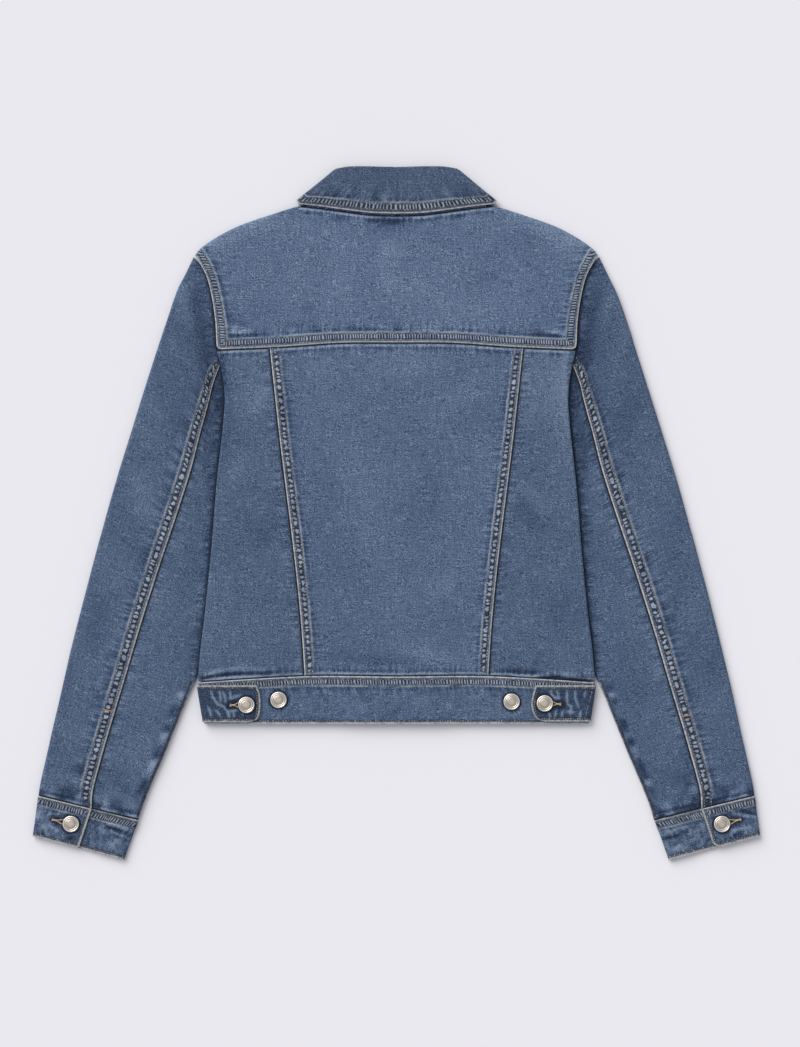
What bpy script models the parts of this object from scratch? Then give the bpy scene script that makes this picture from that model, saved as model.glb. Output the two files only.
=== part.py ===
"""Women's cropped denim jacket, buttoned up and laid flat on its front, back uppermost.

+Z is up, +Y runs to the collar, +X is the wearer's right. Lengths are in millimetres and are
turned to metres where a mesh is made. Each panel is a grid of points on the cloth's inner face,
worked out from the seam and fold tables, and Solidify gives it its thickness.

The layers at any place, from the surface up: sleeve, front, back. A panel that turns over a fold
counts its way across the cloth by a stretch number: 0 to 1 along the top to the fold, 1 to 2 half
round the fold, and 2 to 3 along the underside to its seam.
"""

import math
from collections import namedtuple

import bmesh
import bpy
import numpy as np

MM = 0.001

# Cloth and fastenings
CLOTH = 1.2  # one ply of denim
BAND = 1.8  # waistband, tabs, cuffs and collar, two plies sewn together
SEAM = 0.4  # clearance between pieces at a seam
LAYER = 0.3  # clearance between pieces that lie on each other
FELL = 0.9  # how far a felled seam stands proud of its panel
FELL_WIDTH = 10.0
YOKE_FELL_WIDTH = 12.5
STEP = 1.1  # width of the slope at the edge of a felled seam
BUTTON = 17.0
BUTTON_HEIGHT = 2.5

# Heights
BODY_TOP = 6.3  # outer face of the back where nothing lies under it
PLACKET = 17.0  # half the overlap of the fronts
WRAP = 12.0  # how far a back panel turns under its side or shoulder fold
CLOSURE_RISE = 2.8  # rise of the right front over its buttons
LEAF_RISE = 2.4  # rise of the fronts over the collar's leaves
RIDGE = 0.7  # rise of the back over the buttoned fronts
WAIST_RIDGE = 1.9  # the same over the ends of the waistband
CENTRE_Y = 1.2  # moves the whole so that its middle stands on the origin

DENIM = (0.092, 0.148, 0.275, 1)
DENIM_UNDER = (0.082, 0.134, 0.252, 1)
DENIM_TRIM = (0.075, 0.124, 0.235, 1)
NICKEL = (0.62, 0.58, 0.54, 1)

# The body's side: where it is, how high its top and its underside stand, and its height y
Side = namedtuple("Side", "y half_width top under")
SIDES = (
    Side(-216, 196.0, 6.4, 0.0),
    Side(-196, 199.5, 6.6, 0.6),
    Side(-174, 202.2, 7.6, 2.8),
    Side(-150, 200.8, 9.3, 4.9),
    Side(-100, 195.0, 9.3, 4.9),
    Side(-49, 190.0, 9.3, 4.9),
    Side(33, 183.0, 9.3, 4.9),
    Side(94, 176.5, 9.3, 4.9),
    Side(116, 175.0, 9.2, 4.8),
    Side(133, 176.2, 8.5, 4.6),
    Side(150, 179.3, 7.8, 4.4),
    Side(167, 183.3, 7.2, 4.1),
    Side(194, 185.1, 6.7, 3.8),
    Side(217, 188.3, 6.4, 3.4),
    Side(242, 194.8, 6.3, 3.3),
    Side(261, 205.2, 6.3, 3.3),
)

# Seams across and down the back, by distance from the centre line or by height
YokeSeam = namedtuple("YokeSeam", "x y")
YOKE_SEAM = (YokeSeam(0, 172.8), YokeSeam(57, 172.5), YokeSeam(119, 168.3), YokeSeam(184, 165.5))
WaistSeam = namedtuple("WaistSeam", "x y")
WAIST_SEAM = (WaistSeam(0, -167.6), WaistSeam(90, -167.2), WaistSeam(150, -170), WaistSeam(203, -173.6))
BackSeam = namedtuple("BackSeam", "y x")
BACK_SEAM = (BackSeam(-168, 93.8), BackSeam(-131, 96.2), BackSeam(94, 121.3), BackSeam(168, 129.3))
HEM = -216.0

# Neck and shoulder
Outline = namedtuple("Outline", "x y")
BACK_NECK = (Outline(0, 310.6), Outline(48.5, 313.4), Outline(78, 314.6), Outline(92.5, 313.5))
SHOULDER = (
    Outline(92.5, 313.5),
    Outline(105.6, 310.6),
    Outline(129, 303.3),
    Outline(159.6, 292.7),
    Outline(180, 282.5),
    Outline(196.4, 271.6),
    Outline(205.2, 261.0),
)
FRONT_NECK = (
    Outline(-PLACKET, 254.5),
    Outline(17, 255),
    Outline(49.5, 265),
    Outline(74.5, 284),
    Outline(86, 302),
)
FrontArmhole = namedtuple("FrontArmhole", "y x")
FRONT_ARMHOLE = (
    FrontArmhole(112, 163.0),
    FrontArmhole(130, 163.2),
    FrontArmhole(150, 163.7),
    FrontArmhole(186, 167.8),
    FrontArmhole(226, 181.5),
    FrontArmhole(253.6, 195.7),
)
ARMHOLE_WAY = (0.5, 0.87)  # the way that the armhole runs where it crosses the shoulder
LEAF_OUTLINE = (
    Outline(101.5, 320),
    Outline(96.5, 282.5),
    Outline(80.1, 241.7),
    Outline(59.7, 204),
    Outline(6, 262),
)
NECK_SHARE = 0.5  # the share of the yoke's width at which its neck meets its shoulder
UNDERARM_Y = 112.0

# Sleeve: its outer and inner folds, and the share of its width at which the elbow seam lies
Sleeve = namedtuple("Sleeve", "outer_x outer_y inner_x inner_y seam")
SLEEVES = (
    Sleeve(206.5, 260.7, 167.0, 112.0, 0.64),
    Sleeve(224.9, 221.3, 161.5, 90.0, 0.60),
    Sleeve(239.2, 180.5, 152.0, 63.0, 0.53),
    Sleeve(254.5, 133.6, 144.5, 32.0, 0.49),
    Sleeve(269.8, 84.7, 143.5, -1.0, 0.478),
    Sleeve(285.1, 35.7, 152.5, -36.0, 0.472),
    Sleeve(302.4, -25.5, 170.9, -86.7, 0.465),
    Sleeve(321.8, -98.9, 192.3, -142.8, 0.462),
    Sleeve(337.1, -160.1, 212.7, -188.7, 0.475),
    Sleeve(350.9, -221.3, 236.1, -245.8, 0.48),
    Sleeve(362.1, -270.3, 255.5, -291.7, 0.50),
    Sleeve(365.4, -289.0, 263.4, -314.0, 0.535),
)
FRONT_SEAM = 0.80  # the share of the sleeve's width at which its hidden seam lies
TUCKED = 4.4  # height of the sleeve where the body lies on it
ARMHOLE_LAP = 8.0  # how far the sleeve runs under the body's armhole edge

# Cuff, from its outer fold to its inner one
Cuff = namedtuple("Cuff", "outer_x outer_y inner_x inner_y opening")
CUFFS = (
    Cuff(365.5, -289.4, 263.5, -314.4, 0.535),
    Cuff(371.3, -330.5, 278.0, -355.0, 0.505),
)
CUFF_UNDERLAP = 14.0
CUFF_OUTER_RADIUS = 3.3  # of its two folds
CUFF_INNER_RADIUS = 2.7

# Collar, half of it: where it is sewn on, where it rolls and its free edge. turn is 90 degrees
# over the back, -90 under the front, and passes 0 at the side of the neck
Collar = namedtuple("Collar", "sewn_x sewn_y roll_x roll_y edge_x edge_y turn")
NECK_SIDE = (93.7, 317.4, 61.6, 348.7, 99.4, 312.3)
COLLARS = (
    Collar(0, 311.4, 0, 349.8, 0, 305.5, 90),
    Collar(24, 312.2, 16, 350.3, 26, 306.3, 90),
    Collar(48.5, 314.8, 32, 350.8, 52.5, 309.1, 90),
    Collar(74, 317.0, 49, 350.6, 79, 311.6, 90),
    *(Collar(*NECK_SIDE, turn) for turn in (90, 60, 30, 0, -30, -60, -90)),
    Collar(84.6, 303.0, 57, 334, 97.5, 296, -90),
    Collar(73.4, 285.4, 47, 312, 91, 271, -90),
    Collar(48.9, 266.6, 29, 288, 78, 237, -90),
    Collar(17.3, 256.8, 8.7, 267.2, 59.7, 204, -90),
)
NECK_SIDE_OUT = (0.701, 0.713)  # the way that the side of the collar faces
COLLAR_MIDDLE = 4.35
STAND_RADIUS = 1.15
FALL_RADIUS = 3.45

# Tabs on the waistband: how far from the centre each row of the tab ends
Tab = namedtuple("Tab", "y end")
TABS = (Tab(-212.8, 148), Tab(-209.5, 141.6), Tab(-200, 138.8), Tab(-187, 139.6), Tab(-177.8, 142.8))

FRONT_BUTTONS = (236, 146, 56, -34, -124, -193)
BackButton = namedtuple("BackButton", "name x y on_tab")
BACK_BUTTONS = (
    BackButton("button_tab_left", -152.9, -196.5, True),
    BackButton("button_spare_left", -120.2, -191.5, False),
    BackButton("button_spare_right", 117.4, -193.3, False),
    BackButton("button_tab_right", 151.1, -194.9, True),
)
CUFF_BUTTON = (331.9, -318.0)


def step(start, end, value):
    """0 before start, 1 after end, and smooth between."""
    share = np.clip((value - start) / (end - start), 0, 1)
    return share * share * (3 - 2 * share)


def follow(xs, ys, at):
    """A smooth curve through (xs, ys), read at the places given."""
    xs, ys, at = (np.asarray(v, float) for v in (xs, ys, at))
    slope = np.gradient(ys, xs)
    left = np.clip(np.searchsorted(xs, at) - 1, 0, len(xs) - 2)
    width = xs[left + 1] - xs[left]
    t = np.clip((at - xs[left]) / width, 0, 1)
    rise = t * t * (3 - 2 * t)
    lean = (t**3 - 2 * t**2 + t) * slope[left] + (t**3 - t**2) * slope[left + 1]
    return ys[left] + (ys[left + 1] - ys[left]) * rise + lean * width


def column(table, key, name, at):
    """A table's named column, read smoothly along its key column."""
    return follow([getattr(r, key) for r in table], [getattr(r, name) for r in table], at)


def outline(table, share):
    """The point at a share of an outline's rows, and the way that it runs there."""
    rows = np.arange(len(table))
    place = np.asarray(share, float) * (len(table) - 1)
    ahead = np.clip(place + 0.05, 0, len(table) - 1)
    behind = np.clip(place - 0.05, 0, len(table) - 1)
    x, y = (follow(rows, [getattr(r, n) for r in table], place) for n in "xy")
    dx, dy = (
        follow(rows, [getattr(r, n) for r in table], ahead)
        - follow(rows, [getattr(r, n) for r in table], behind)
        for n in "xy"
    )
    length = np.hypot(dx, dy)
    return x, y, dx / length, dy / length


def side_x(y):
    return column(SIDES, "y", "half_width", y)


def underarm_fold_x(y):
    """Where the sleeve's inner fold lies under the body."""
    inner = sorted((row.inner_y, row.inner_x) for row in SLEEVES)
    return follow([row[0] for row in inner], [row[1] for row in inner], y)


def closure_height(x, stack):
    """The rise of a layer over the buttoned fronts, stack high at the centre line."""
    return stack * (1 - step(2 * PLACKET, 72, np.abs(x)))


def leaf_height(x, y):
    """The rise of the fronts over the collar's leaves, which are folded under them."""
    beyond = np.full(np.shape(x), -np.inf)
    for first, second in zip(LEAF_OUTLINE, LEAF_OUTLINE[1:]):
        dx, dy = second.x - first.x, second.y - first.y
        away = ((y - first.y) * dx - (np.abs(x) - first.x) * dy) / math.hypot(dx, dy)
        beyond = np.maximum(beyond, away)
    return LEAF_RISE * (1 - step(10, 30, beyond))


def sleeve_height(x, y):
    """The rise of the fronts over the tucked part of the sleeve."""
    fold = underarm_fold_x(np.minimum(y, UNDERARM_Y))
    inward = step(fold - 44, fold - 20, np.abs(x))
    below = 1 - step(114, 142, y)
    return column(SIDES, "y", "under", np.minimum(y, 100)) * inward * below


def front_under(x, y, stack=CLOSURE_RISE):
    """The height of the fronts' outer face, which is turned to the surface."""
    rises = closure_height(x, stack), leaf_height(x, y), sleeve_height(x, y)
    return np.maximum.reduce(rises)


def back_top(x, y):
    """The height of the back's outer face."""
    side = side_x(y)
    rise = column(SIDES, "y", "top", y) - BODY_TOP
    at_side = rise * step(side - 110, side - 50, np.abs(x))
    ridge = RIDGE + (WAIST_RIDGE - RIDGE) * step(-110, -165, y)
    return BODY_TOP + at_side + closure_height(x, ridge) * (1 - step(240, 295, y))


def waist_y(x):
    return column(WAIST_SEAM, "x", "y", np.abs(x))


def yoke_y(x):
    return column(YOKE_SEAM, "x", "y", np.abs(x))


def half_round(count):
    """The stretch numbers round a fold, with both its ends."""
    return [1 + i / count for i in range(count + 1)]


def round_fold(turn, middle, radius):
    """How far out from its centre, and how high, a fold's inner face is at a stretch number 1 to 2."""
    angle = math.pi / 2 - (turn - 1) * math.pi
    return radius * math.cos(angle), middle + radius * math.sin(angle)


def clear_scene():
    for thing in list(bpy.data.objects):
        bpy.data.objects.remove(thing)


def finish(name, colour, metallic, roughness):
    """A plain material of its own for each piece."""
    material = bpy.data.materials.new(name)
    material.use_nodes = True
    shader = material.node_tree.nodes["Principled BSDF"]
    shader.inputs["Base Color"].default_value = colour
    shader.inputs["Metallic"].default_value = metallic
    shader.inputs["Roughness"].default_value = roughness
    return material


def put_away(thing, jacket, name, colour, metallic=0.0, roughness=0.85):
    thing.name = thing.data.name = name
    thing.data.materials.append(finish(name, colour, metallic, roughness))
    for collection in list(thing.users_collection):
        collection.objects.unlink(thing)
    jacket.objects.link(thing)


def panel(jacket, name, points, colour, ply=CLOTH, raised=None, cut=None, mirrored=False):
    """A sewn piece: a grid laid through its inner face's points, then given its thickness."""
    rows, columns = points.shape[:2]
    bpy.ops.mesh.primitive_grid_add(x_subdivisions=columns - 1, y_subdivisions=rows - 1, size=1)
    piece = bpy.context.object
    placed = (points + (0, CENTRE_Y, 0)) * MM
    piece.data.vertices.foreach_set("co", placed.reshape(-1))
    thickness = ply
    if raised is not None:
        thickness = ply + FELL
        group = piece.vertex_groups.new(name="felled seams")
        for index, share in enumerate(raised.reshape(-1)):
            group.add([index], float(share), "REPLACE")
    if cut is not None:
        shape = bmesh.new()
        shape.from_mesh(piece.data)
        shape.faces.ensure_lookup_table()
        gone = [shape.faces[i] for i in np.flatnonzero(cut)]
        bmesh.ops.delete(shape, geom=gone, context="FACES")
        shape.to_mesh(piece.data)
        shape.free()
    if mirrored:
        mirror = piece.modifiers.new("other half", "MIRROR")
        mirror.merge_threshold = 0.0001
        mirror.use_clip = True
    wall = piece.modifiers.new("cloth", "SOLIDIFY")
    wall.thickness = thickness * MM
    wall.offset = 1
    if raised is not None:
        wall.vertex_group = "felled seams"
        wall.thickness_vertex_group = ply / thickness
    put_away(piece, jacket, name, colour)
    piece.data.shade_smooth()
    piece.data.set_sharp_from_angle(angle=math.radians(40))
    return piece


def on_side(points, side):
    """The points of a right-hand piece, or of its twin on the left with its faces still out."""
    if side > 0:
        return points
    return points[:, ::-1] * (-1, 1, 1)


BODY_ROWS = (0, 0.07, 0.17, 0.28, 0.39, 0.5, 0.61, 0.72, 0.815, 0.87, 0.93, 1)


def body_row_y(x, share):
    """The height of a body row, which runs from the waist seam to the yoke seam."""
    low, high = waist_y(x) + SEAM / 2, yoke_y(x) - SEAM / 2
    return low + (high - low) * share


def make_back_centre(jacket):
    points, raised = [], []
    for share in BODY_ROWS:
        y_at_seam = body_row_y(110, share)
        half = column(BACK_SEAM, "y", "x", y_at_seam) - SEAM / 2
        inner = half - FELL_WIDTH - STEP
        xs = np.array([0, 0.2 * inner, 0.4 * inner, 0.7 * inner, inner, inner + STEP, half])
        ys = body_row_y(xs, share)
        points.append(np.stack([xs, ys, back_top(xs, ys) - CLOTH], -1))
        raised.append([0, 0, 0, 0, 0, 1, 1])
    panel(
        jacket, "back_centre", np.array(points), DENIM, raised=np.array(raised), mirrored=True
    )


def side_fold(y):
    """The fold's inner face at the body's side: how far out, its middle height and its radius."""
    top, under = (column(SIDES, "y", name, y) for name in ("top", "under"))
    radius = (top - under) / 2
    return side_x(y) - radius, (top + under) / 2, radius - CLOTH


BACK_SIDE_STRETCH = (0, 0.25, 0.5, 0.75, *half_round(6), 3)


def make_back_side(jacket, side, name):
    points = []
    for share in BODY_ROWS:
        y_at_fold = body_row_y(190, share)
        centre, middle, radius = side_fold(y_at_fold)
        seam = column(BACK_SEAM, "y", "x", body_row_y(110, share)) + SEAM / 2
        row = []
        for turn in BACK_SIDE_STRETCH:
            if turn < 1:
                x = seam + (centre - seam) * turn
                y = body_row_y(x, share)
                z = back_top(x, y) - CLOTH
            elif turn <= 2:
                reach, z = round_fold(turn, middle, radius)
                x, y = centre + reach, y_at_fold
            else:
                x, y = side_x(y_at_fold) - WRAP, y_at_fold
                z = front_under(x, y) + CLOTH
            row.append((x, y, z))
        points.append(row)
    turns = np.array(BACK_SIDE_STRETCH)
    heights = np.array([body_row_y(190, share) for share in BODY_ROWS])
    cut = (heights[:-1, None] > UNDERARM_Y - 12) & (turns[None, :-1] >= 1.49)
    points = on_side(np.array(points, float), side)
    panel(jacket, name, points, DENIM, cut=cut if side > 0 else cut[:, ::-1])


YOKE_SHARES = (0, 0.13, 0.26, 0.38, 0.5, 0.6, 0.7, 0.8, 0.88)
YOKE_ROWS = ((0, 0), (YOKE_FELL_WIDTH, 0), (YOKE_FELL_WIDTH + STEP, 0)) + tuple(
    (YOKE_FELL_WIDTH + STEP, share) for share in (0.2, 0.4, 0.6, 0.8, 1)
)


def yoke_column(share):
    """One column of the yoke: its foot on the seam, its fold, the way out of it, and its height."""
    foot_x = share * (side_x(YOKE_SEAM[-1].y) - SEAM)
    if share < NECK_SHARE:
        x, y, _, _ = outline(BACK_NECK, share / NECK_SHARE)
        return foot_x, x, y, np.array([0, 1]), 0.0
    beyond = (share - NECK_SHARE) / (1 - NECK_SHARE)
    x, y, dx, dy = outline(SHOULDER, beyond)
    turned = beyond**3
    out = np.array([-dy, dx]) * (1 - turned) + np.array(ARMHOLE_WAY) * turned
    out = out / np.hypot(*out)
    radius = float(back_top(x, y) - front_under(x, y)) / 2
    return foot_x, x, y, out, radius


def shoulder_wrap(share):
    """How far the yoke turns under the shoulder, as a move from the fold to its front seam."""
    beyond = (share - NECK_SHARE) / (1 - NECK_SHARE)
    neck = np.array([FRONT_NECK[-1].x - SHOULDER[0].x, FRONT_NECK[-1].y - SHOULDER[0].y])
    end = np.array([FRONT_ARMHOLE[-1].x - SHOULDER[-1].x, FRONT_ARMHOLE[-1].y - SHOULDER[-1].y])
    middle = WRAP * np.array([-0.35, -0.94])
    return (1 - beyond) ** 2 * neck + 2 * beyond * (1 - beyond) * middle + beyond**2 * end


def make_back_yoke(jacket):
    width = side_x(190)
    felled_share = 1 - FELL_WIDTH / width
    shares = (*YOKE_SHARES, felled_share - STEP / width, felled_share, 1)
    side_foot_x, side_fold_x, side_fold_y, side_out, side_radius = yoke_column(1)
    side_foot = np.array([side_foot_x, yoke_y(side_foot_x) + SEAM / 2])
    side_top = np.array([side_fold_x, side_fold_y]) - side_out * side_radius
    points, raised = [], []
    for share in shares:
        foot_x, fold_x, fold_y, out, radius = yoke_column(share)
        foot = np.array([foot_x, yoke_y(foot_x) + SEAM / 2])
        fold = np.array([fold_x, fold_y])
        top = fold - out * radius
        length = np.hypot(*(top - foot))
        strip, lifted = [], []
        for mm, part in YOKE_ROWS:
            up = (mm + part * (length - mm)) / length
            x, y = foot + (top - foot) * up
            edge_x, edge_y = side_foot + (side_top - side_foot) * up
            x += share * (side_x(edge_y) - SEAM - edge_x)
            strip.append((x, y, back_top(x, y) - CLOTH))
            lifted.append(mm <= YOKE_FELL_WIDTH or share >= felled_share)
        middle = (back_top(*top) + front_under(*top)) / 2
        for turn in half_round(6)[1:]:
            reach, z = round_fold(turn, middle, max(radius - CLOTH, 0.1))
            strip.append((*(top + reach * out), z))
        under = fold + (shoulder_wrap(share) if share >= NECK_SHARE else 0)
        strip.append((*under, front_under(*under) + CLOTH))
        points.append(strip)
        raised.append(lifted + [False] * (len(strip) - len(lifted)))
    points = np.array(points, float).transpose(1, 0, 2)
    raised = np.array(raised, float).T
    beyond_neck = np.array(shares)[None, :-1] < NECK_SHARE
    folded = np.arange(len(points) - 1)[:, None] >= len(YOKE_ROWS) - 1
    cut = beyond_neck & folded
    panel(jacket, "back_yoke", points, DENIM, raised=raised, cut=cut, mirrored=True)


FRONT_SHARES = (0, 0.1, 0.2, 0.3, 0.4, 0.5, 0.6, 0.7, 0.8, 0.9, 1)
ARMHOLE_HEIGHTS = (125, 140, 160, 180, 200, 220, 238)


def front_outer_edge():
    """The front's outer edge from the waist up: its side seam, then its armhole."""
    edge = []
    for share in BODY_ROWS:
        y = body_row_y(190, share)
        if y < UNDERARM_Y - 4:
            edge.append((side_x(y) - WRAP - SEAM, y))
    for y in ARMHOLE_HEIGHTS:
        edge.append((column(FRONT_ARMHOLE, "y", "x", y) - SEAM, y))
    end = FRONT_ARMHOLE[-1]
    edge.append((end.x - SEAM, end.y - SEAM))
    return np.array(edge, float)


def front_top(share):
    """The front's top edge: the neck from the centre, then the shoulder seam."""
    if share <= NECK_SHARE:
        x, y, _, _ = outline(FRONT_NECK, share / NECK_SHARE)
        return np.array([x, y])
    x, y, _, _ = outline(SHOULDER, (share - NECK_SHARE) / (1 - NECK_SHARE))
    return np.array([x, y]) + shoulder_wrap(share) - (0, 2 * SEAM)


def make_front(jacket, side, name, stack):
    edge = front_outer_edge()
    top = np.array([front_top(share) for share in FRONT_SHARES])
    top[-1] = edge[-1]
    foot_x = -PLACKET + (edge[0, 0] + PLACKET) * np.array(FRONT_SHARES)
    foot = np.stack([foot_x, waist_y(foot_x) + SEAM / 2], -1)
    foot[-1] = edge[0]
    points = []
    for at in edge:
        up = (at[1] - edge[0, 1]) / (edge[-1, 1] - edge[0, 1])
        row = []
        for i, across in enumerate(FRONT_SHARES):
            centre = foot[0] + (top[0] - foot[0]) * up
            lengthways = foot[i] + (top[i] - foot[i]) * up
            sideways = centre + (at - centre) * across
            corners = (foot[0] + (foot[-1] - foot[0]) * across) * (1 - up)
            corners = corners + (top[0] + (top[-1] - top[0]) * across) * up
            x, y = lengthways + sideways - corners
            row.append((x, y, float(front_under(x, y, stack)) + CLOTH))
        points.append(row)
    points = np.array(points)[:, ::-1]
    panel(jacket, name, on_side(points, side), DENIM_UNDER)


def sleeve_top(x, y):
    """The height of the sleeve's upper face, lower where the body lies on it."""
    return TUCKED + 1.9 * step(3, 32, x - side_x(y))


def sleeve_row(place):
    """A cross line of the sleeve: its outer end, its way inwards, its width and its elbow seam."""
    rows = np.arange(len(SLEEVES))
    values = [follow(rows, [row[i] for row in SLEEVES], place) for i in range(5)]
    outer, inner = np.array(values[:2]), np.array(values[2:4])
    width = float(np.hypot(*(inner - outer)))
    return outer, (inner - outer) / width, width, float(values[4])


def armhole_shift(place, share, upper):
    """How far a point moves from the cross line to reach the armhole's edge near the head."""
    outer, way, width, _ = sleeve_row(0)
    line = outer + way * width * share
    y = outer[1] + (SLEEVES[0].inner_y - outer[1]) * share
    if upper:
        x = side_x(y) - ARMHOLE_LAP * step(0.03, 0.16, share) + 1.1 * (1 - step(0, 0.1, share))
    else:
        x = column(FRONT_ARMHOLE, "y", "x", y) + 1.0
    ends = step(0, 0.05, share) * (1 - step(0.94, 1, share))
    if not upper:
        ends = step(0, 0.12, share) * (1 - step(0.9, 1, share))
    return np.array([(x - line[0]) * ends, 0]) * (1 - step(0, 1.6, place))


def sleeve_point(place, turn, seam_share, from_outer):
    """A point of a sleeve piece's inner face, from its elbow seam round its fold to its front seam."""
    outer, way, width, _ = sleeve_row(place)
    fold = outer if from_outer else outer + way * width
    if from_outer:
        radius = float(sleeve_top(*(outer + way * 3))) / 2
    else:
        radius = float(sleeve_top(*(fold - way * 3))) / 2
    inset = radius if from_outer else width - radius
    seam = seam_share * width
    if turn < 1:
        along = seam + (inset - seam) * turn
        xy = outer + way * along + armhole_shift(place, along / width, True)
        return (*xy, float(sleeve_top(*xy)) - CLOTH)
    if turn <= 2:
        reach, z = round_fold(turn, radius, radius - CLOTH)
        along = inset - reach if from_outer else inset + reach
        return (*(outer + way * along), z)
    front_seam = FRONT_SEAM * width + (-SEAM / 2 if from_outer else SEAM / 2)
    along = inset + (front_seam - inset) * (turn - 2)
    xy = outer + way * along + armhole_shift(place, along / width, False)
    return (*xy, CLOTH)


SLEEVE_PLACES = (0, 0.5, 1, 1.6, 2.3, 3, 4, 5, 6, 7, 8, 9, 10, 11)


def make_sleeve(jacket, side, top_name, under_name):
    over, raised, under = [], [], []
    for place in SLEEVE_PLACES:
        _, _, width, seam = sleeve_row(place)
        reach = seam * width - 3
        felled = [0, FELL_WIDTH / reach, (FELL_WIDTH + STEP) / reach]
        turns = felled + [0.45, 0.72, *half_round(5), 2.25, 2.5, 2.75, 3]
        over.append([sleeve_point(place, turn, seam - SEAM / 2 / width, True) for turn in turns])
        raised.append([1, 1] + [0] * (len(turns) - 2))
        turns = [0, 0.33, 0.66, *half_round(5), 2.5, 3]
        under.append([sleeve_point(place, turn, seam + SEAM / 2 / width, False) for turn in turns])
    over, under, raised = np.array(over)[::-1], np.array(under), np.array(raised)
    if side < 0:
        raised = raised[:, ::-1]
    panel(jacket, top_name, on_side(over, side), DENIM, raised=raised)
    panel(jacket, under_name, on_side(under, side), DENIM)


def cuff_point(down, turn):
    """A point of the cuff's inner face: 0 to 1 over the outer part's top, 1 to 2 round the outer
    fold, 2 to 3 underneath, 3 to 4 round the inner fold, 4 to 5 back to the opening, 5 to 6 under
    the outer part."""
    outer_x, outer_y, inner_x, inner_y, opening = (
        CUFFS[0][i] + (CUFFS[1][i] - CUFFS[0][i]) * down for i in range(5)
    )
    outer, inner = np.array([outer_x, outer_y]), np.array([inner_x, inner_y])
    width = float(np.hypot(*(inner - outer)))
    way = (inner - outer) / width
    outer_radius, inner_radius = CUFF_OUTER_RADIUS, CUFF_INNER_RADIUS
    at_opening = opening * width
    if turn <= 1:
        along, z = at_opening + (outer_radius - at_opening) * turn, 2 * outer_radius - BAND
    elif turn <= 2:
        reach, z = round_fold(turn, outer_radius, outer_radius - BAND)
        along = outer_radius - reach
    elif turn <= 3:
        along = outer_radius + (width - inner_radius - outer_radius) * (turn - 2)
        z = BAND
    elif turn <= 4:
        reach, z = round_fold(5 - turn, inner_radius, inner_radius - BAND)
        along = width - inner_radius + reach
    else:
        start = width - inner_radius
        end = at_opening - CUFF_UNDERLAP
        share = turn - 4
        along = start + (end - start) * share
        lowest = BAND + LAYER
        drop = step(0.25, 0.6, share)
        z = (2 * inner_radius - BAND) * (1 - drop) + lowest * drop
    return (*(outer + way * along), z)


def make_cuff(jacket, side, name):
    turns = [0, 0.5, *half_round(5), 2.35, 2.7]
    turns += [turn + 2 for turn in half_round(5)] + [4.15, 4.3, 4.45, 4.6, 4.8, 5]
    points = np.array([[cuff_point(down, turn) for turn in turns] for down in (1, 0.5, 0)])
    panel(jacket, name, on_side(points, side), DENIM_TRIM, ply=BAND)


def band_y(x, down):
    """The height of a waistband row, 0 at the waist seam and 1 at the hem."""
    high = waist_y(x) - SEAM / 2
    return high + (HEM - high) * down


def band_top(x, y):
    """The inner face of the waistband's back."""
    return back_top(x, y) - CLOTH


def band_fold(down):
    """The waistband's side fold: how far out its middle is, its middle height and its radius."""
    y = band_y(200, down)
    top = column(SIDES, "y", "top", y) - CLOTH + BAND
    under = column(SIDES, "y", "under", y)
    radius = (top - under) / 2
    return side_x(y) - radius, (top + under) / 2, radius - BAND


def make_waistband(jacket):
    rows = []
    for down in (1, 0.5, 0):
        centre, middle, radius = band_fold(down)
        y_side = band_y(200, down)
        row = []
        right = [-PLACKET, 0, PLACKET, 36, 52, 68, 110, 150]
        for x in right:
            y = band_y(x, down)
            row.append((x, y, front_under(x, y) + BAND))
        for turn in reversed(half_round(6)):
            reach, z = round_fold(turn, middle, radius)
            row.append((centre + reach, y_side, z))
        for x in (160, 140, 110, 68, 52, 36, 20, 0, -20, -36, -52, -68, -110, -140, -160):
            y = band_y(x, down)
            row.append((x, y, float(band_top(x, y))))
        for turn in half_round(6):
            reach, z = round_fold(turn, middle, radius)
            row.append((-centre - reach, y_side, z))
        for x in reversed(right):
            y = band_y(x, down)
            row.append((-x, y, front_under(x, y, CLOSURE_RISE + BAND + LAYER) + BAND))
        rows.append(row)
    points = np.array(rows)[:, ::-1]
    panel(jacket, "waistband", points, DENIM_TRIM, ply=BAND)


def make_tab(jacket, side, name):
    """A tab lies on the waistband, from the side fold to its pointed end."""
    rows = []
    for tab in TABS:
        centre = side_x(tab.y)
        top = column(SIDES, "y", "top", tab.y) - CLOTH + BAND
        under = column(SIDES, "y", "under", tab.y)
        radius = (top - under) / 2
        row = []
        for share in (0, 0.12, 0.3, 0.6, 1):
            x = tab.end + (centre - radius - tab.end) * share
            row.append((x, tab.y, float(band_top(x, tab.y)) + BAND + LAYER))
        for turn in half_round(6)[1:3]:
            reach, z = round_fold(turn, (top + under) / 2, radius + LAYER)
            row.append((centre - radius + reach, tab.y, z))
        rows.append(row)
    panel(jacket, name, on_side(np.array(rows), side), DENIM_TRIM, ply=BAND)


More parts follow.
